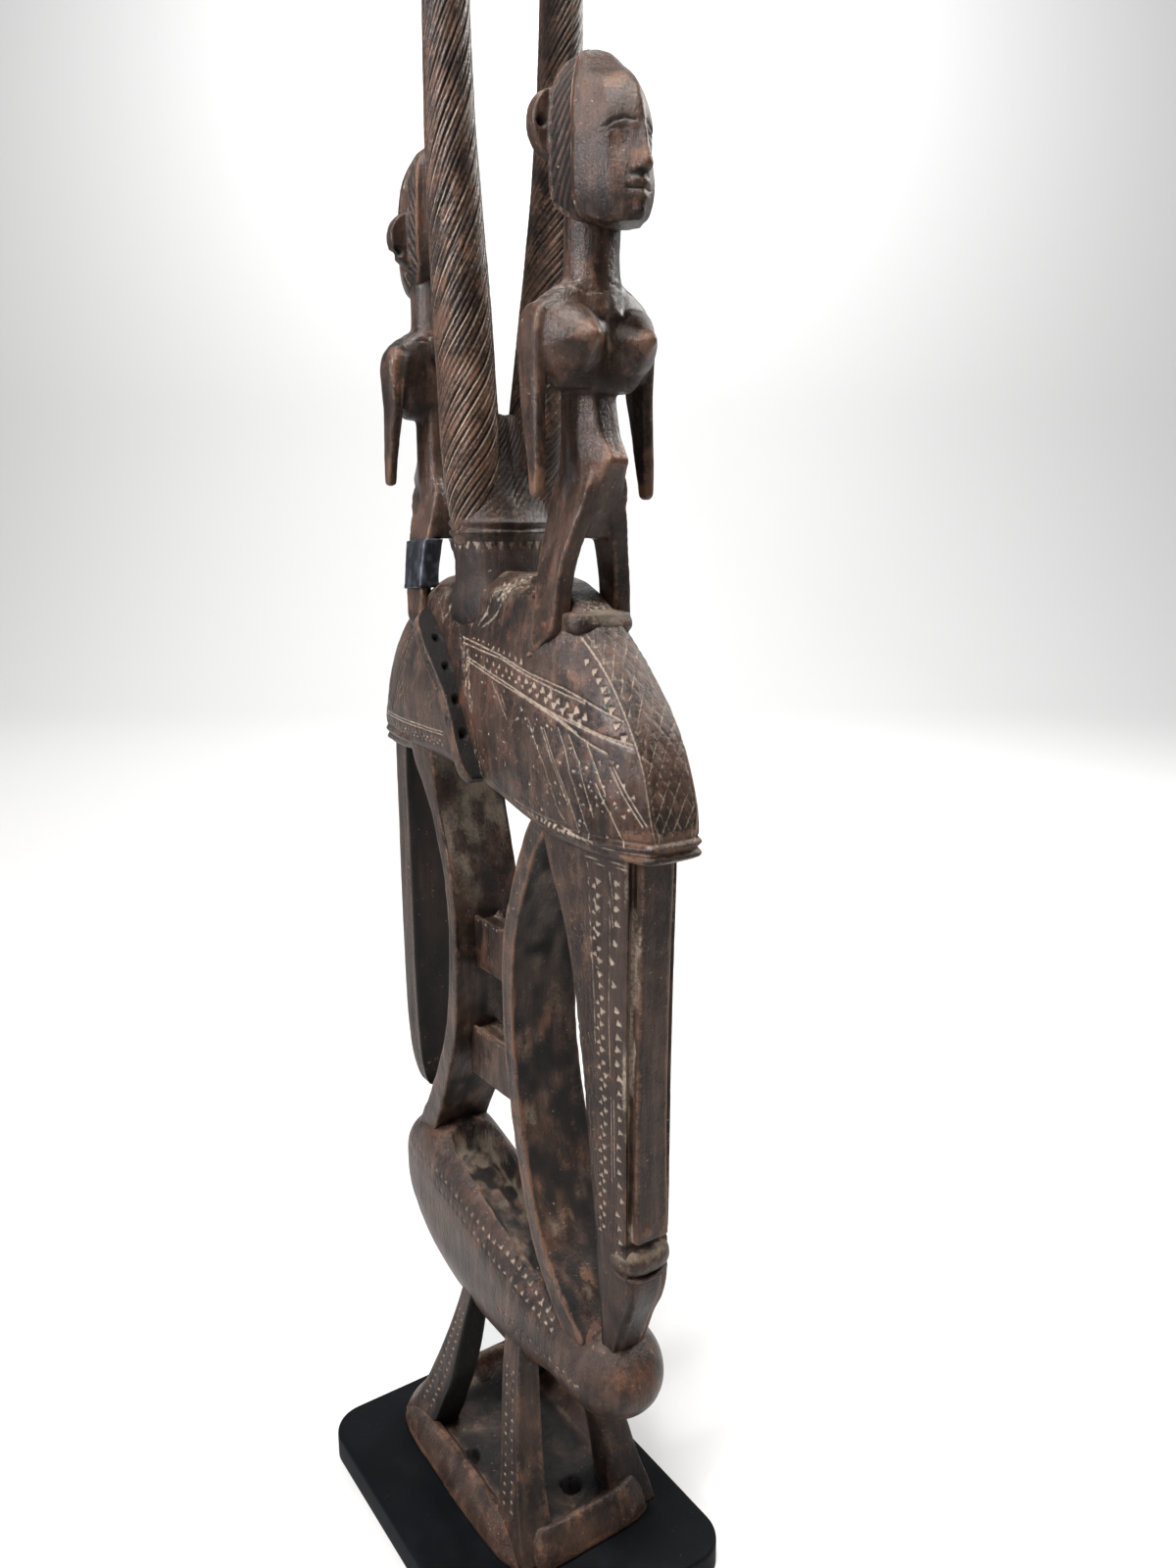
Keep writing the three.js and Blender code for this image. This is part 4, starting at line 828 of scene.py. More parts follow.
# Figures: where each stands on the head, and how it differs from the shared tables
figureShapes = {
    "front": {"x": 62, "z": 424, "facing": 1, "breadth": 1, "arm": 0.985, "depth": 1, "shift": 0,
              "earX": -8, "earZ": 177, "earReach": 9, "earHole": 176.5, "headGrain": 0.52, "bodyGrain": 0.9},
    "rear": {"x": -60, "z": 424, "facing": -1, "breadth": 0.96, "arm": 0.86, "depth": 0.85, "shift": -7,
             "earX": 0, "earZ": 161, "earReach": 11, "earHole": 155, "headGrain": 0.7, "bodyGrain": 1.1},
}
# Rows: z and a section's places and half widths at that level; the breast's rows start with x
figureTables = {
    "leg": [[-12.5, -13, -11.8, 18.2, 19], [-8, -13, -7, 15, 19.2], [-3, -13, 0, 11, 19],
            [2, -13, 2, 10.5, 18.6], [15, -12.8, 3.4, 9.7, 17.4], [22, -12.4, 4.4, 8.7, 16.4],
            [29, -12, 5.9, 7.3, 15], [36, -12.3, 7.9, 5.6, 13.1], [44, -12.8, 10.3, 2, 11],
            [52, -12.3, 12.6, 0.5, 9.2], [59, -10.5, 12, 0.5, 6.5], [64, -8, 6, 0.5, 3]],
    "torso": [[33, -12, 8, -5, 11, 4, 7], [44, -12, 8, -4, 10.8, 10, 7.5], [52, -11.2, 8, -2.6, 10.7, 14, 6.2],
              [58, -10, 8, -1, 10.7, 18, 5], [61, -9.5, 8, 0, 10.8, 19.6, 4.4], [65, -9, 8, 0.6, 10.8, 17, 4.4],
              [71, -8.5, 8, 1.5, 10.8, 13.5, 4.5], [85, -8, 8, 2, 10.8, 10, 5], [102, -8, 8, 2, 11.5, 10, 5.5]],
    "chest": [[86, 3, 0, 8, 15], [91, 2, 0, 10.3, 20.5], [98, 2, 0, 10.7, 23.6], [104, 2, 0, 10.6, 24.6],
              [112, 1.5, 0, 9.8, 24.8], [117, 1.5, 0, 8.8, 22], [120.5, 1.5, 0, 8.4, 17],
              [124, 1.5, 0, 8, 11.5], [128, 1.5, 0, 8, 9]],
    "neck": [[112, 1.5, 0, 12, 12], [122, 1.5, 0, 11, 11.2], [128, 1.5, 0, 10.4, 10.6],
             [136, 1.7, 0, 10.3, 10.4], [150, 3, 0, 10.5, 10.5]],
    "arm": [[115.5, -0.3, 20, 4.5, 4], [113, -0.5, 21.2, 6.6, 4.6], [108, -0.8, 22.8, 7.2, 4.4],
            [102, -1, 23.6, 7.2, 4], [92, -1.3, 24, 6.8, 3.3], [84, -1.3, 24.1, 6.2, 3],
            [70, 0.3, 24.5, 4.8, 2.7], [57, 1.8, 24.8, 3.4, 2.5], [48, 2.3, 25, 2.6, 2.2],
            [46.5, 2.3, 25, 1.4, 1.2]],
    "head": [[139.5, 15, 2, 17, 5, 22, 6, 26, 4, 30], [141.5, 8, 4, 10, 8, 17, 9.5, 25.6, 7, 31.6],
             [144.5, 1, 5, 3, 10.4, 13.6, 12.4, 25.6, 8.6, 32.2], [150, -8, 5, -4, 12.5, 13, 14.2, 26, 9.8, 33],
             [158, -11, 5, -5, 14, 13, 14.8, 25.5, 10, 33], [170, -12, 5, -5.5, 14.2, 13, 14.6, 25, 10, 32.5],
             [178, -11.5, 5, -5.5, 13.8, 12, 14, 23, 9.3, 30.5],
             [185, -10.5, 4.5, -5.5, 13, 11, 12.8, 19.5, 8, 26.5],
             [190.5, -9, 4, -5, 11.4, 9, 10.6, 14.5, 6, 19.6], [196, -6.5, 3, -3.5, 8, 6, 7.4, 9.5, 4, 12.6],
             [199, -3.5, 1.6, -1.4, 4, 3, 3.8, 4.8, 2.2, 6.6], [199.8, -1, 0.6, 0, 1.6, 2, 1.6, 3, 1, 4]],
    "breast": [[2, 103, 12.4, 14.4], [6, 103, 12, 13.8], [10, 102.8, 11, 12.2], [14, 102.6, 8.8, 9.8],
               [17.5, 102.6, 6, 6.6], [21, 102.8, 3.2, 3.4], [23, 102.8, 1.7, 1.7], [23.6, 102.8, 0.6, 0.6]],
    "nose": [[175, 28.6, 1.6, 1.2], [168, 30.4, 2.8, 1.8], [161, 32, 3.2, 2.3], [157, 32.6, 3.7, 3],
             [154.8, 32.2, 3.3, 3.1], [153.6, 31, 2, 2.2]],
    "hairline": [(10.6, 143), (10.9, 158), (10.9, 170), (9.8, 178), (8.6, 185), (7, 191), (4.6, 196)],
    "hairRim": [(8, 141.6), (2, 145), (-3.4, 150), (-5, 158), (-5.6, 170), (-5.6, 178), (-5.2, 185),
                (-3.6, 192), (-1, 197)],
    "lid": [(10.4, 168.6), (8.2, 170.3), (5.4, 171), (2.6, 170.2)], "eye": [(11, 166.8), (8, 168), (4.2, 168)],
    "fold": [(4.6, 160), (5.8, 154), (7, 147)], "mouth": [(0, 148.8), (4.8, 149.2)],
    "hairGap": 3.5, "legEased": 4.5, "breastY": 12.2,
}


# The far side of what is made for the near side: y changes its sign
def mirrored(points):
    return points * [1, -1, 1]


# Rings of a table whose rows are z, x, y and the two half widths
def postRings(rows, count, sides, power, side=1):
    z, x, y, halfX, halfY = evenRows(rows, count, [0, 1, 2]).T
    return ovalRings(stack(x, side * y, z), [1, 0, 0], [0, 1, 0], halfX, halfY, power, sides)


# Rings through half an outline and its mirror image
def mirroredRings(half, steps, ease):
    return cornerRings(np.stack(half + [mirrored(p) for p in half[::-1]], axis=1), steps, ease)


# The closed surfaces of a body: torso, chest, neck, and a leg, an arm and a breast on each side
def bodySolids(t, s):
    z, back, backY, mid, midY, front, frontY = evenRows(t["torso"], 60, [0, 5]).T
    solids = [mirroredRings([stack(back, -backY, z), stack(mid, -midY, z), stack(front, -frontY, z)], [12] * 6, 2),
              postRings(t["chest"], 40, 72, 2.5), postRings(t["neck"], 40, 60, 2)]
    shoulder = t["arm"][0][0]
    arm = np.array(t["arm"], float)
    arm[:, 0] = shoulder - (shoulder - arm[:, 0]) * s["arm"]
    arm[:, 2] *= s["breadth"]
    z, back, front, inner, outer = evenRows(t["leg"], 60, [0, 2, 3]).T
    eased = t["legEased"]
    section = [(back, outer), (front, outer), (front, inner), (back + eased, inner), (back, inner + eased)]
    x, level, halfY, halfZ = evenRows(t["breast"], 36, [0, 2]).T
    power = np.interp(x, [6, 16], [2.3, 1.6])
    for side in (1, -1):
        leg = np.stack([stack(a, side * b, z) for a, b in section], axis=1)
        solids.append(cornerRings(leg, [14, 10, 10, 6, 6], 1))
        solids.append(postRings(arm, 70, 40, 4, side))
        solids.append(ovalRings(stack(x, side * t["breastY"], level), [0, 1, 0], [0, 0, 1], halfY, halfZ, power, 60))
    return solids


# The closed surfaces of a head: skull with its face, nose and two round ears
def headSolids(t, s):
    z, back, backY, temple, templeY, hair, hairY, cheek, cheekY, front = evenRows(t["head"], 90, [0, 9]).T
    outline = [(back, backY), (temple, templeY), (hair - 2.2, hairY - 0.3), (hair - 0.4, hairY + 1),
               (hair + 1.8, hairY - 0.4), (cheek, cheekY), (front, 0.8)]
    half = [stack(a * s["depth"] + s["shift"], -b, z) for a, b in outline]
    solids = [mirroredRings(half, [10, 20, 3, 3, 14, 12, 3, 12, 14, 3, 3, 20, 10, 6], 1)]
    z, x, halfX, halfY = evenRows(t["nose"], 30, [0, 1]).T
    solids.append(ovalRings(stack(x * s["depth"] + s["shift"], 0, z), [1, 0, 0], [0, 1, 0], halfX, halfY, 2, 30))
    x, grow = s["earX"] + np.array([-2.9, -2.6, 2.6, 2.9]), np.array([-0.8, 0, 0, -0.8])
    reach, height = s["earReach"] + grow, 11.5 + grow
    for side in (1, -1):
        solids.append(ovalRings(stack(x, side * 11, s["earZ"]), [0, 1, 0], [0, 0, 1], reach, height, 2, 60))
    return solids


# Fuses overlapping closed surfaces into one skin of small quads; gives its mesh, points and edges
def fuse(name, solids, grain):
    lump = meshPiece(name + "Raw", [(p, {}) for p in solids], np.zeros(3))
    remesh = lump.modifiers.new("fuse", "REMESH")
    remesh.mode, remesh.voxel_size = "VOXEL", grain / 1000
    skin = bpy.data.meshes.new_from_object(lump.evaluated_get(bpy.context.evaluated_depsgraph_get()))
    bpy.data.objects.remove(lump)
    co = np.empty(len(skin.vertices) * 3, np.float32)
    skin.vertices.foreach_get("co", co)
    ends = np.empty(len(skin.edges) * 2, np.int32)
    skin.edges.foreach_get("vertices", ends)
    return skin, co.reshape(-1, 3).astype(float) * 1000, ends.reshape(-1, 2)


# Each vertex drawn to the mean of those it shares an edge with, again and again
def relax(points, ends, rounds):
    (first, second), n = ends.T, len(points)
    degree = np.bincount(ends.ravel(), minlength=n)
    for _ in range(rounds):
        total = [np.bincount(first, column[second], n) + np.bincount(second, column[first], n) for column in points.T]
        points = 0.4 * points + 0.6 * np.stack(total, axis=1) / degree[:, None]
    return points


# Cuts of the head: grooved hair between a rim and the hairline, shut eyes under their brows, mouth and ears
def headMarks(points, t, s):
    x, y, z = points.T
    hx, ay = (x - s["shift"]) / s["depth"], np.abs(y)
    onEar = (np.abs(x - s["earX"]) < 4.4) * (ay > 13.4)
    side = ramp(ay, 6, 9) * (1 - onEar)
    behind, before = np.interp(z, [141, 150, 178, 198], [9, -3, -5, 0]), np.interp(z, [140, 178, 198], [20, 9, 3.4])
    panel = side * ramp(hx, -5, -4) * fall(hx, 8.4, 9.6) * ramp(z, 144, 147) * (hx > behind) * (hx < before)
    hair = comb((0.64 * z - 0.77 * hx + 0.3 * lumps(points, 9, 104)) / t["hairGap"], t["hairGap"], 1.3) * panel
    ridge = strokes(hx, z, [t["hairline"]], 1.1) * side
    rim = strokes(hx, z, [t["hairRim"]], 1.3) * side
    face = ramp(hx, 17, 20)
    lid, eye, fold, mouth = (strokes(ay, z, [t[key]], width) * face for key, width in
                             (("lid", 0.9), ("eye", 0.8), ("fold", 0.8), ("mouth", 0.8)))
    socket = np.exp(-(((ay - 6.8) / 4.6) ** 2 + ((z - 164) / 6) ** 2)) * face
    lips = (bell(z - 151.2, 1.3) + 0.8 * bell(z - 146.6, 1.2)) * fall(ay, 3.4, 5.6) * (hx > 24)
    under = bell(z - 153.4, 0.9) * fall(ay, 3.4, 4.6) * (hx > 28)
    away = np.hypot(ay - 11 - s["earReach"] + 3.2, z - s["earHole"])
    hole = unit(1.6 - away / 1.5) * onEar
    depth = hair + 0.65 * lid + 0.25 * eye + 1.4 * socket + 0.7 * mouth - 0.55 * lips + 0.5 * under + 1.7 * hole
    brow = np.exp(-((z - 181) / 8) ** 2 - ((ay - 4) / 5) ** 2) * (hx > 14)
    tip = bell(z - 158, 3) * (ay < 4) * (hx > 29)
    blot = unit(0.6 + lumps(points, 5, 105))
    holeRim = bell(away - 2.6, 0.6) * onEar
    # painted shadow: the dark mask paints shadow under the lids and under the nose
    return {"depth": depth - 0.6 * ridge - 0.6 * rim,
            "cut": unit(blot * (0.5 * eye + 0.35 * fold + 0.8 * ridge + 0.4 * rim) + 0.3 * holeRim),
            "dust": unit(0.35 * socket + 0.5 * fold + 0.35 * ridge + 0.35 * panel * (1 - hair)),
            "wear": unit(brow * blot * 1.8 + 0.8 * rim + 1.6 * tip + 0.4 * lips),
            "dark": unit(hair + 0.9 * mouth + 0.9 * lid + under + hole + 0.15 * panel), "gloss": 0.2 * (1 - panel)}


# Cuts of the body: pale scratches round the neck, worn breasts, belly and edges, dusty hollows, and painted shade in a
# dark band under the chest
def bodyMarks(points, t, s):
    x, y, z = points.T
    ay = np.abs(y)
    between = bell(y, 1.5) * (x > 6) * ramp(z, 90, 94) * fall(z, 112, 120)
    collar = strokes(np.arctan2(y, x - 1.5) * 12, z, scratches([(-36, 121), (36, 121)], 3.4, 46, (4, 14), 106), 0.6)
    collar = collar * ramp(z, 116, 118) * fall(z, 125, 128)
    hips = bell(z - 44, 2) * (x > 2) * ramp(ay, 6, 10)
    # the paler belly is partly wear and partly a painted reflection
    worn = 0.9 * ramp(x, 16, 21) * (z > 96) * (z < 110) + 0.7 * (x > 15) * bell(z - 61, 5)
    worn = worn + 0.5 * (ay > 20.5) * (z < 100) * fall(z, 48, 60) + 0.45 * ramp(lumps(points, [9, 9, 22], 107), 0, 0.7)
    blot = unit(0.6 + lumps(points, 6, 108))
    low = 0.3 * ramp(lumps(points, [5, 5, 12], 109), -0.1, 0.5) * (z < 60)
    return {"depth": 0.6 * between + 0.25 * collar + 0.4 * hips, "cut": 0.6 * collar * blot, "wear": unit(worn),
            "dust": unit(0.5 * between + low + 0.35 * hips + 0.35 * bell(z - 119, 4) * blot),
            "dark": unit(0.5 * (z < 92) * (z > 84) * (ay < 16)), "gloss": 0.5}


# A figure part is drawn facing +X on the ground of its own soles, fused, cut, and then set in its place
def makeFigurePart(name, solids, marksOf, t, s, grain):
    mesh, points, ends = fuse(name, solids, grain)
    points = relax(points, ends, 1)
    mesh.vertices.foreach_set("co", (points / 1000).astype(np.float32).ravel())
    mesh.update()
    normal = np.empty(len(points) * 3, np.float32)
    mesh.vertex_normals.foreach_get("vector", normal)
    normal = normal.reshape(-1, 3).astype(float)
    marks = marksOf(points, t, s)
    depth = marks["depth"] + 0.25 * lumps(points, [9, 9, 16], 101) + 0.1 * lumps(points, 4, 102)
    points = points - normal * depth[:, None]
    stand = np.sum((points - relax(points, ends, 14)) * normal, axis=1)
    masks = {m: marks.get(m, 0) + 0 * depth for m in maskNames}
    masks["wear"] = unit(masks["wear"] + 0.6 * ramp(stand, 0.12, 0.5))
    masks["dust"] = unit(masks["dust"] + 0.6 * ramp(-stand, 0.15, 0.6))
    if s["facing"] < 0:
        mesh.flip_normals()
    fillMesh(mesh, points * [s["facing"], 1, 1] + [s["x"], 0, s["z"]] + carvingPlace, masks)
    print(name, "has", 2 * len(mesh.polygons), "triangles")
    return addObject(name, mesh)


# Ledge under the front figure's feet: its top is dusty between the feet, with a shallow notch below the toes painted
# dark as painted shade
footLedge = [[412, 54, 0, 12, 10], [416, 57, 0, 15, 13.4], [419, 58, 0, 16.4, 14.2], [421, 58.2, 0, 16.6, 14.4],
             [424, 58.6, 0, 16.8, 14.8], [427.4, 58.4, 0, 16.4, 14.8], [429.4, 58, 0, 15.2, 13.8],
             [429.9, 57, 0, 9, 8]]


# The ledge is a low squared post; fine cuts fan out on its front
def makeFootLedge(rows):
    points = postRings(rows, 50, 100, 4)
    px, py, pz = np.moveaxis(points, 2, 0)
    shadedNotch = bell(pz - 420.6 - 0.05 * (px - 60), 1.5) * ramp(px, 56, 64)
    points = carve(points, 0.9 * shadedNotch + 0.4 * lumps(points, 6, 111) + 0.15 * lumps(points, 2.5, 113))
    tan = bell(py + 0.5, 7) * ramp(pz, 421, 426)
    fan = strokes(py, pz, scratches([(-12, 424), (12, 424)], 3, 20, (3, 8), 114), 0.6) * ramp(px, 66, 72)
    return surface(points, 1.0, dark=0.9 * shadedNotch, cut=0.5 * fan,
                   dust=unit(0.25 + 0.9 * tan + 0.3 * lumps(points, 6, 112)) * (1 - shadedNotch))


# Materials
class Wire:
    # A socket of a material. + - and * on it, with values on either side, add Math nodes
    def __init__(self, tree, socket=None):
        self.tree, self.socket = tree, socket

    # Any node: its type, its settings, the values or links of its sockets, and which output to use
    def add(self, kind, settings=None, inputs=None, output=0):
        node = self.tree.nodes.new(kind)
        for key, value in (settings or {}).items():
            setattr(node, key, value)
        for key, value in (inputs or {}).items():
            target = node.inputs[key] if isinstance(key, int) else self.named(node.inputs, key)
            if isinstance(value, Wire):
                self.tree.links.new(value.socket, target)
            else:
                target.default_value = value
        return Wire(self.tree, node.outputs[output] if isinstance(output, int) else self.named(node.outputs, output))

    # The socket with this identifier, or else with this name
    def named(self, sockets, key):
        return ([s for s in sockets if s.identifier == key] + [s for s in sockets if s.name == key])[0]

    def maths(self, operation, first, second):
        return self.add("ShaderNodeMath", {"operation": operation}, {0: first, 1: second})

    def __add__(self, other):
        return self.maths("ADD", self, other)

    def __radd__(self, other):
        return self.maths("ADD", other, self)

    def __sub__(self, other):
        return self.maths("SUBTRACT", self, other)

    def __rsub__(self, other):
        return self.maths("SUBTRACT", other, self)

    def __mul__(self, other):
        return self.maths("MULTIPLY", self, other)

    def __rmul__(self, other):
        return self.maths("MULTIPLY", other, self)

    # A smooth step from 0 below one value to 1 above another
    def step(self, low, high):
        return self.add("ShaderNodeMapRange", {"interpolation_type": "SMOOTHSTEP"},
                        {"Value": self, "From Min": low, "From Max": high}, "Result")

    # One colour where this is 0 and another where it is 1
    def blend(self, first, second):
        return self.add("ShaderNodeMix", {"data_type": "RGBA"},
                        {"Factor_Float": self, "A_Color": first, "B_Color": second}, "Result_Color")

    # Fractal noise over a place, from 0 to 1
    def noise(self, scale, detail, rough=0.5):
        return self.add("ShaderNodeTexNoise", {},
                        {"Vector": self, "Scale": scale, "Detail": detail, "Roughness": rough}, "Fac")


# A new material with its shader, and its own object coordinates to draw on
def startMaterial(name):
    material = bpy.data.materials.new(name)
    material.use_nodes = True
    tree = material.node_tree
    return material, tree.nodes["Principled BSDF"], Wire(tree).add("ShaderNodeTexCoord", output="Object")


# Colour, roughness and a bump of this height feed the shader
def finishMaterial(shader, colour, roughness, height, strength, distance):
    normal = colour.add("ShaderNodeBump", {}, {"Strength": strength, "Distance": distance, "Height": height}, "Normal")
    for name, wire in (("Base Color", colour), ("Roughness", roughness), ("Normal", normal)):
        wire.tree.links.new(wire.socket, shader.inputs[name])


woodLook = {
    "deep": (0.009, 0.006, 0.005, 1), "body": (0.048, 0.028, 0.020, 1), "pale": (0.100, 0.064, 0.048, 1),
    "red": (0.062, 0.021, 0.011, 1), "worn": (0.140, 0.076, 0.048, 1), "dust": (0.150, 0.120, 0.088, 1),
    "cut": (0.310, 0.245, 0.190, 1), "black": (0.0045, 0.004, 0.004, 1), "earth": (0.120, 0.068, 0.036, 1),
    "specular": 0.2,
}


# Old dark wood: grain drawn out along Z, cloudy brown patches, reddish worn edges, grey dust in the hollows, pale dust
# in the cuts, and a waxy gloss that the dust takes away. Through its masks it also shows painted highlights, a painted
# sheen and painted shade
def woodMaterial(name, look):
    material, shader, place = startMaterial(name)
    mask = {m: place.add("ShaderNodeAttribute", {"attribute_name": m}, output="Fac") for m in maskNames}
    drawn = place.add("ShaderNodeMapping", {}, {"Vector": place, "Scale": (1.0, 1.0, 0.1)}, "Vector")
    grain, streak = drawn.noise(1100.0, 3.0, 0.65), drawn.noise(210.0, 4.0, 0.6)
    cloud, blotch, fleck = place.noise(30.0, 6.0, 0.65), place.noise(95.0, 5.0, 0.65), place.noise(650.0, 4.0, 0.7)
    colour = (cloud * 0.6 + streak * 0.25 + fleck * 0.15).step(0.38, 0.63).blend(look["deep"], look["body"])
    colour = ((blotch * 0.55 + streak * 0.45).step(0.48, 0.68) * 0.65).blend(colour, look["pale"])
    colour = (blotch * 0.5 + fleck * 0.5).step(0.5, 0.66).blend(colour, look["red"])
    # worn colour: worn edges, and painted highlights beside the near horn's grooves and on the figure's belly
    worn = (mask["wear"] + (blotch - 0.5) * 1.5 + (fleck - 0.5) * 1.2).step(0.4, 1.1)
    colour = (worn * 0.7).blend(colour, look["worn"])
    colour = ((worn * streak).step(0.3, 0.6) * 0.5).blend(colour, look["red"])
    # dust colour: dust, and the painted sheen on the rear strut's top
    dusty = (mask["dust"] + (blotch - 0.5) * 1.2 + (fleck - 0.5) * 0.9).step(0.3, 1.2)
    colour = (dusty * 0.7).blend(colour, look["dust"])
    colour = ((dusty * cloud).step(0.4, 0.6) * 0.7).blend(colour, look["earth"])
    # near black: dark wood, and painted shade in holes, notches, grooves, under the figures' lids, noses and chests and
    # between parts
    colour = (mask["dark"].step(0.1, 0.9) * 0.94).blend(colour, look["black"])
    # pale colour: cuts, and the painted highlight beside each groove of the near horn
    cut = (mask["cut"] + (fleck - 0.5) * 0.9).step(0.32, 0.8)
    colour = (cut * 0.75).blend(colour, look["cut"])
    nick = place.noise(700.0, 2.0).step(0.67, 0.75) * blotch.step(0.45, 0.58)
    colour = (nick * 0.5).blend(colour, look["cut"])
    colour = (grain.step(0.5, 0.75) * 0.35).blend(colour, look["deep"])
    roughness = 0.22 + dusty * 0.38 + cut * 0.3 + grain * 0.12 + fleck * 0.16 + mask["dark"] * 0.35
    roughness = roughness - mask["gloss"] * 0.1
    height = (grain * 0.35 + streak * 0.5 + fleck * 0.55) * (1 - mask["gloss"] * 0.5)
    shader.inputs["Specular IOR Level"].default_value = look["specular"]
    finishMaterial(shader, colour, roughness, height, 0.8, 0.0009)
    return material


standLook = {"top": (0.002, 0.0024, 0.0034, 1), "side": (0.012, 0.0125, 0.015, 1), "scuff": (0.08, 0.08, 0.08, 1),
             "specular": 0.06}


# Matt black paint, its sides painted greyer than its top as painted light and shade between the faces, with fine specks
# of dust
def standMaterial(look):
    material, shader, place = startMaterial("blackSlabPaint")
    height = place.add("ShaderNodeSeparateXYZ", {}, {"Vector": place}, "Z")
    # painted shade: the top is painted darker than the sides below it
    side = (1 - height.step(0.0108, 0.0132)) * 0.55
    colour = side.blend(look["top"], look["side"])
    colour = (place.noise(40.0, 3.0).step(0.45, 0.75) * 0.25).blend(colour, look["side"])
    colour = (place.noise(900.0, 3.0).step(0.72, 0.78) * 0.5).blend(colour, look["scuff"])
    shader.inputs["Specular IOR Level"].default_value = look["specular"]
    finishMaterial(shader, colour, 0.6 + place.noise(60.0, 3.0) * 0.18, place.noise(1200.0, 3.0), 0.12, 0.0003)
    return material


bandLook = {"metal": (0.012, 0.013, 0.018, 1), "rubbed": (0.06, 0.065, 0.08, 1), "rust": (0.05, 0.03, 0.02, 1),
            "metallic": 0.6}


# Dark metal, rubbed in places and rusted in others
def bandMaterial(look):
    material, shader, place = startMaterial("oldBandMetal")
    colour = place.noise(160.0, 4.0).step(0.45, 0.7).blend(look["metal"], look["rubbed"])
    colour = (place.noise(420.0, 4.0).step(0.55, 0.75) * 0.6).blend(colour, look["rust"])
    shader.inputs["Metallic"].default_value = look["metallic"]
    finishMaterial(shader, colour, 0.3 + place.noise(300.0, 4.0) * 0.25, place.noise(500.0, 4.0), 0.3, 0.0004)
    return material


# Slab: eased is how far its outline draws in at each level, the last ones counted from its top
stand = {
    "length": 179, "width": 126, "thick": 14, "corner": 17,
    "eased": [(0.4, 0), (0.1, 0.1), (0, 0.4), (0, 4)],
    "easedTop": [(0, 2.4), (0.1, 1.5), (0.35, 0.8), (0.9, 0.3), (1.4, 0.08), (1.9, 0), (3, 0)],
}


# A rounded rectangle at each level: quarter rounds about four centres
def makeStand(v):
    radius = v["corner"]
    angle = np.linspace(0, math.pi / 2, 13)
    rings = []
    for inset, z in v["eased"] + [(inset, v["thick"] - down) for inset, down in v["easedTop"]]:
        ring = []
        for quarter, (sx, sy) in enumerate(((1, 1), (-1, 1), (-1, -1), (1, -1))):
            turned = angle + quarter * math.pi / 2
            x = sx * (v["length"] / 2 - radius) + (radius - inset) * np.cos(turned)
            y = sy * (v["width"] / 2 - radius) + (radius - inset) * np.sin(turned)
            ring.append(stack(x, y, z))
        rings.append(np.concatenate(ring))
    return surface(np.stack(rings), 9)


band = {"low": 10.6, "high": 32.4, "gap": 0.35, "wall": 0.8, "slant": 0.06, "rings": 36}


# The band follows the near leg of the rear figure, with a rolled lip at its slanting lower edge
def makeBand(v, t, s):
    z = np.linspace(v["low"], v["high"], v["rings"])
    levels, *columns = np.array(t["leg"], float).T
    back, front, inner, outer = (np.interp(z, levels, column) for column in columns)

    def ringAt(grow):
        section = [(back - grow, outer + grow), (front + grow, outer + grow), (front + grow, inner - grow),
                   (back - grow, inner - grow)]
        return cornerRings(np.stack([stack(-a, -b, z) for a, b in section], axis=1), [14, 10, 14, 10], 4)

    lip = 0.3 * bell(z - v["low"] - 1, 1.1)
    points = np.concatenate([ringAt(v["gap"] + v["wall"] + lip), ringAt(v["gap"])[::-1]])
    points = carve(points, 0.15 * lumps(points, 7, 121) * (np.arange(len(points)) < len(z))[:, None])
    slant = v["slant"] * (points[..., 0] - points[..., 0].mean())
    return surface(points + stack(s["x"], 0, s["z"] + slant), 9)


# Every piece rides on the one body and replaces its node
def place(piece, node, slot, material):
    piece.data.materials.append(material)
    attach(piece, "root")
    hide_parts(node)


wood = woodMaterial("oldDarkWood", woodLook)
legs = [makeLeg(legTables[which], side, which == "front") for which in ("front", "rear") for side in (-1, 1)]
struts = [makeStrut(strutTables["rear"], False), makeStrut(strutTables["front"], True)]
carvedPieces = {
    "carvedFoot": [makeFootPlate(footPlate)] + legs,
    "carvedBody": [makeBody(bodyLog)],
    "carvedLadder": struts + [makeRung(level, rungs) for level in rungs["levels"]],
    "carvedHead": [makeHead(headMass)],
    "carvedMuzzles": [makeMuzzle(muzzles, "front", 1), makeMuzzle(muzzles, "rear", -1), makeLips()],
    "bigEars": [makeBigEar(bigEars, -1), makeBigEar(bigEars, 1)],
    "carvedCollar": [makeCollar(collar), makeFootLedge(footLedge)],
    "nearHorn": [makeHorn(horns, -1)],
    "farHorn": [makeHorn(horns, 1)],
}
for name, surfaces in carvedPieces.items():
    place(meshPiece(name, surfaces), "carving", "dark_wood", wood)
print("carving done")

for which, shape in figureShapes.items():
    for part, solidsOf, marksOf in (("Head", headSolids, headMarks), ("Body", bodySolids, bodyMarks)):
        solids, grain = solidsOf(figureTables, shape), shape[part.lower() + "Grain"]
        figure = makeFigurePart(which + "Figure" + part, solids, marksOf, figureTables, shape, grain)
        place(figure, "carving", "dark_wood", wood)
bandPiece = meshPiece("repairBand", [makeBand(band, figureTables, figureShapes["rear"])])
place(bandPiece, "repair_band", "band_metal", bandMaterial(bandLook))
slabPiece = meshPiece("displaySlab", [makeStand(stand)], np.zeros(3))
place(slabPiece, "display_stand", "stand_black", standMaterial(standLook))
print("figures, band and slab done")


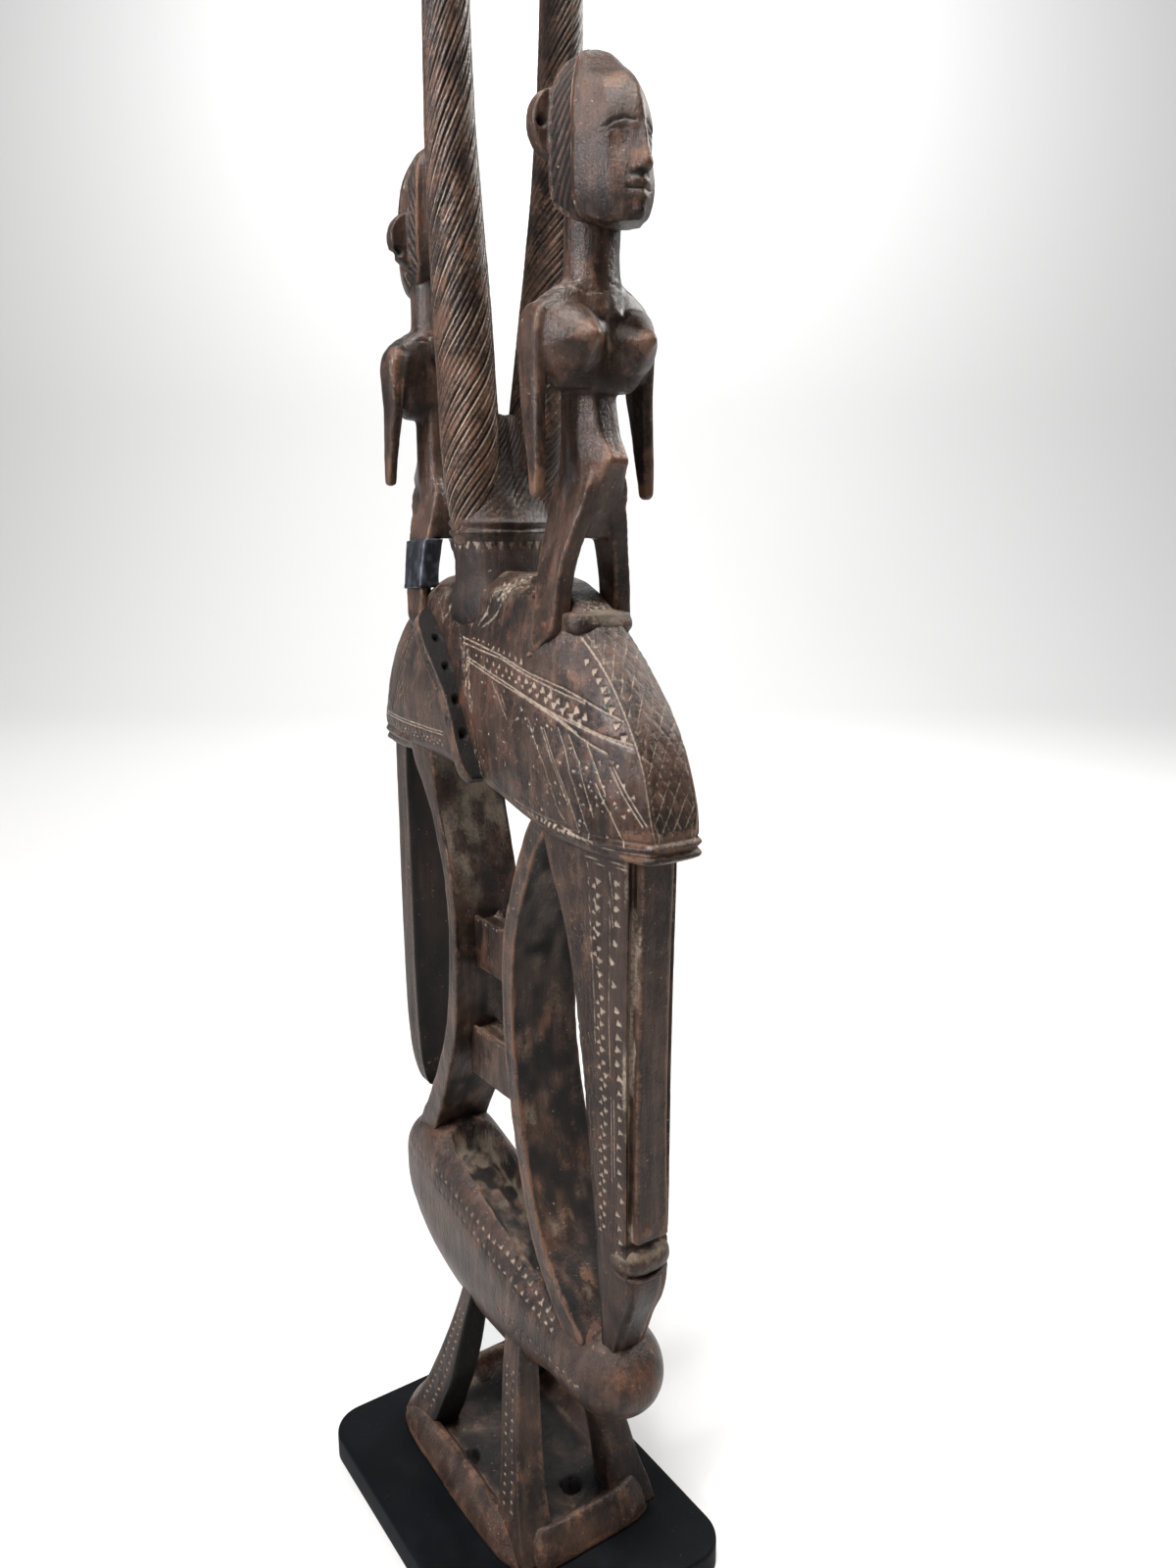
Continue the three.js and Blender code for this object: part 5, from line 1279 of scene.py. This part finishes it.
# Camera, floor and lights
cameraView = {"place": (0.42107, -0.24516, 0.47094), "heading": 145.52, "down": 12.115, "roll": -0.10, "lens": 26.27}
studio = {
    "floor": (0.5, 0.5, 0.5, 1), "floorGlow": 0.2, "world": (0.96, 0.98, 1.0, 1), "worldStrength": 0.14,
    "sweep": {"far": 4.0, "back": 2.6, "radius": 0.9, "half": 6.4},
    "lights": [  # name, place, aim, width, height, watts, spread in degrees, colour
        ("topLight", (0.5, -0.5, 2.3), (0, 0, 0.5), 0.45, 0.45, 72, 180, (1, 0.97, 0.93)),
        ("leftLight", (0.0, -1.6, 1.45), (0, 0, 0.82), 0.2, 1.0, 6.4, 55, (0.96, 0.97, 1)),
        ("frontLight", (1.1, -1.7, 1.4), (0, 0, 0.55), 0.16, 0.8, 8, 180, (0.85, 0.93, 1)),
        ("lowLight", (-0.5, -1.45, 0.62), (0, 0, 0.42), 0.2, 0.5, 6, 180, (0.75, 0.86, 1)),
        ("rightLight", (0.15, 1.5, 1.45), (0, 0, 0.5), 0.3, 0.6, 38, 180, (1, 0.98, 0.95)),
        ("wallLight", (-1.5, 1.03, 2.6), (-2.7, 1.85, 0.8), 1.5, 1.0, 95, 180, (1, 1, 1)),
    ],
}


# Pale paper that lies away from the camera and sweeps up behind the object in a quarter round
def makeFloor(v, heading):
    sweep, yaw = v["sweep"], math.radians(heading)
    away, aside = np.array([math.cos(yaw), math.sin(yaw)]), np.array([math.sin(yaw), -math.cos(yaw)])
    radius, back = sweep["radius"], sweep["back"]
    profile = [(-sweep["far"], 0.0)] + [(back + radius * math.sin(a), radius * (1 - math.cos(a)))
                                        for a in np.linspace(0, math.pi / 2, 13)] + [(back + radius, sweep["far"])]
    verts = [(*(away * d + aside * s), h) for d, h in profile for s in (-sweep["half"], sweep["half"])]
    faces = [(2 * k, 2 * k + 1, 2 * k + 3, 2 * k + 2) for k in range(len(profile) - 1)]
    mesh = bpy.data.meshes.new("studioFloor")
    mesh.from_pydata(verts, [], faces)
    mesh.polygons.foreach_set("use_smooth", np.ones(len(faces), bool))
    mesh.update()
    material = bpy.data.materials.new("palePaper")
    material.use_nodes = True
    shader = material.node_tree.nodes["Principled BSDF"]
    for name, value in (("Base Color", v["floor"]), ("Roughness", 0.9), ("Emission Color", v["floor"]),
                        ("Emission Strength", v["floorGlow"])):
        shader.inputs[name].default_value = value
    mesh.materials.append(material)
    return addObject("studioFloor", mesh)


# Sets a thing at a place, with its own axes along right and up and its back towards the third
def aimObject(thing, at, right, up, back):
    turn = Matrix(np.stack([right, up, back], axis=1).tolist())
    thing.matrix_world = Matrix.Translation(at) @ turn.to_4x4()


# Area lights that look from their places at their aims, and an even faint light all round
def makeLights(v):
    world = bpy.data.worlds.new("studioWorld")
    world.use_nodes = True
    world.node_tree.nodes["Background"].inputs["Color"].default_value = v["world"]
    world.node_tree.nodes["Background"].inputs["Strength"].default_value = v["worldStrength"]
    bpy.context.scene.world = world
    for name, at, aim, width, height, watts, spread, colour in v["lights"]:
        light = bpy.data.lights.new(name, "AREA")
        light.shape, light.size, light.size_y = "RECTANGLE", width, height
        light.energy, light.spread, light.color = watts, math.radians(spread), colour
        back = np.array(at, float) - np.array(aim, float)
        back /= np.linalg.norm(back)
        right = np.cross([0, 0, 1], back)
        right /= np.linalg.norm(right)
        aimObject(addObject(name, light), at, right, np.cross(back, right), back)


# The camera looks along its heading, tilted down, and is rolled about its own line of sight
def makeCamera(v):
    data = bpy.data.cameras.new("photoCamera")
    data.lens, data.sensor_width, data.clip_start = v["lens"], 36, 0.01
    yaw, pitch, roll = (math.radians(v[k]) for k in ("heading", "down", "roll"))
    forward = np.array([math.cos(yaw) * math.cos(pitch), math.sin(yaw) * math.cos(pitch), -math.sin(pitch)])
    right = np.array([math.sin(yaw), -math.cos(yaw), 0])
    up = np.cross(right, forward)
    right, up = math.cos(roll) * right + math.sin(roll) * up, math.cos(roll) * up - math.sin(roll) * right
    camera = addObject("photoCamera", data)
    aimObject(camera, v["place"], right, up, -forward)
    bpy.context.scene.camera = camera


makeFloor(studio, cameraView["heading"])
makeLights(studio)
makeCamera(cameraView)
bpy.context.scene.view_settings.view_transform = "Standard"
print("studio done")
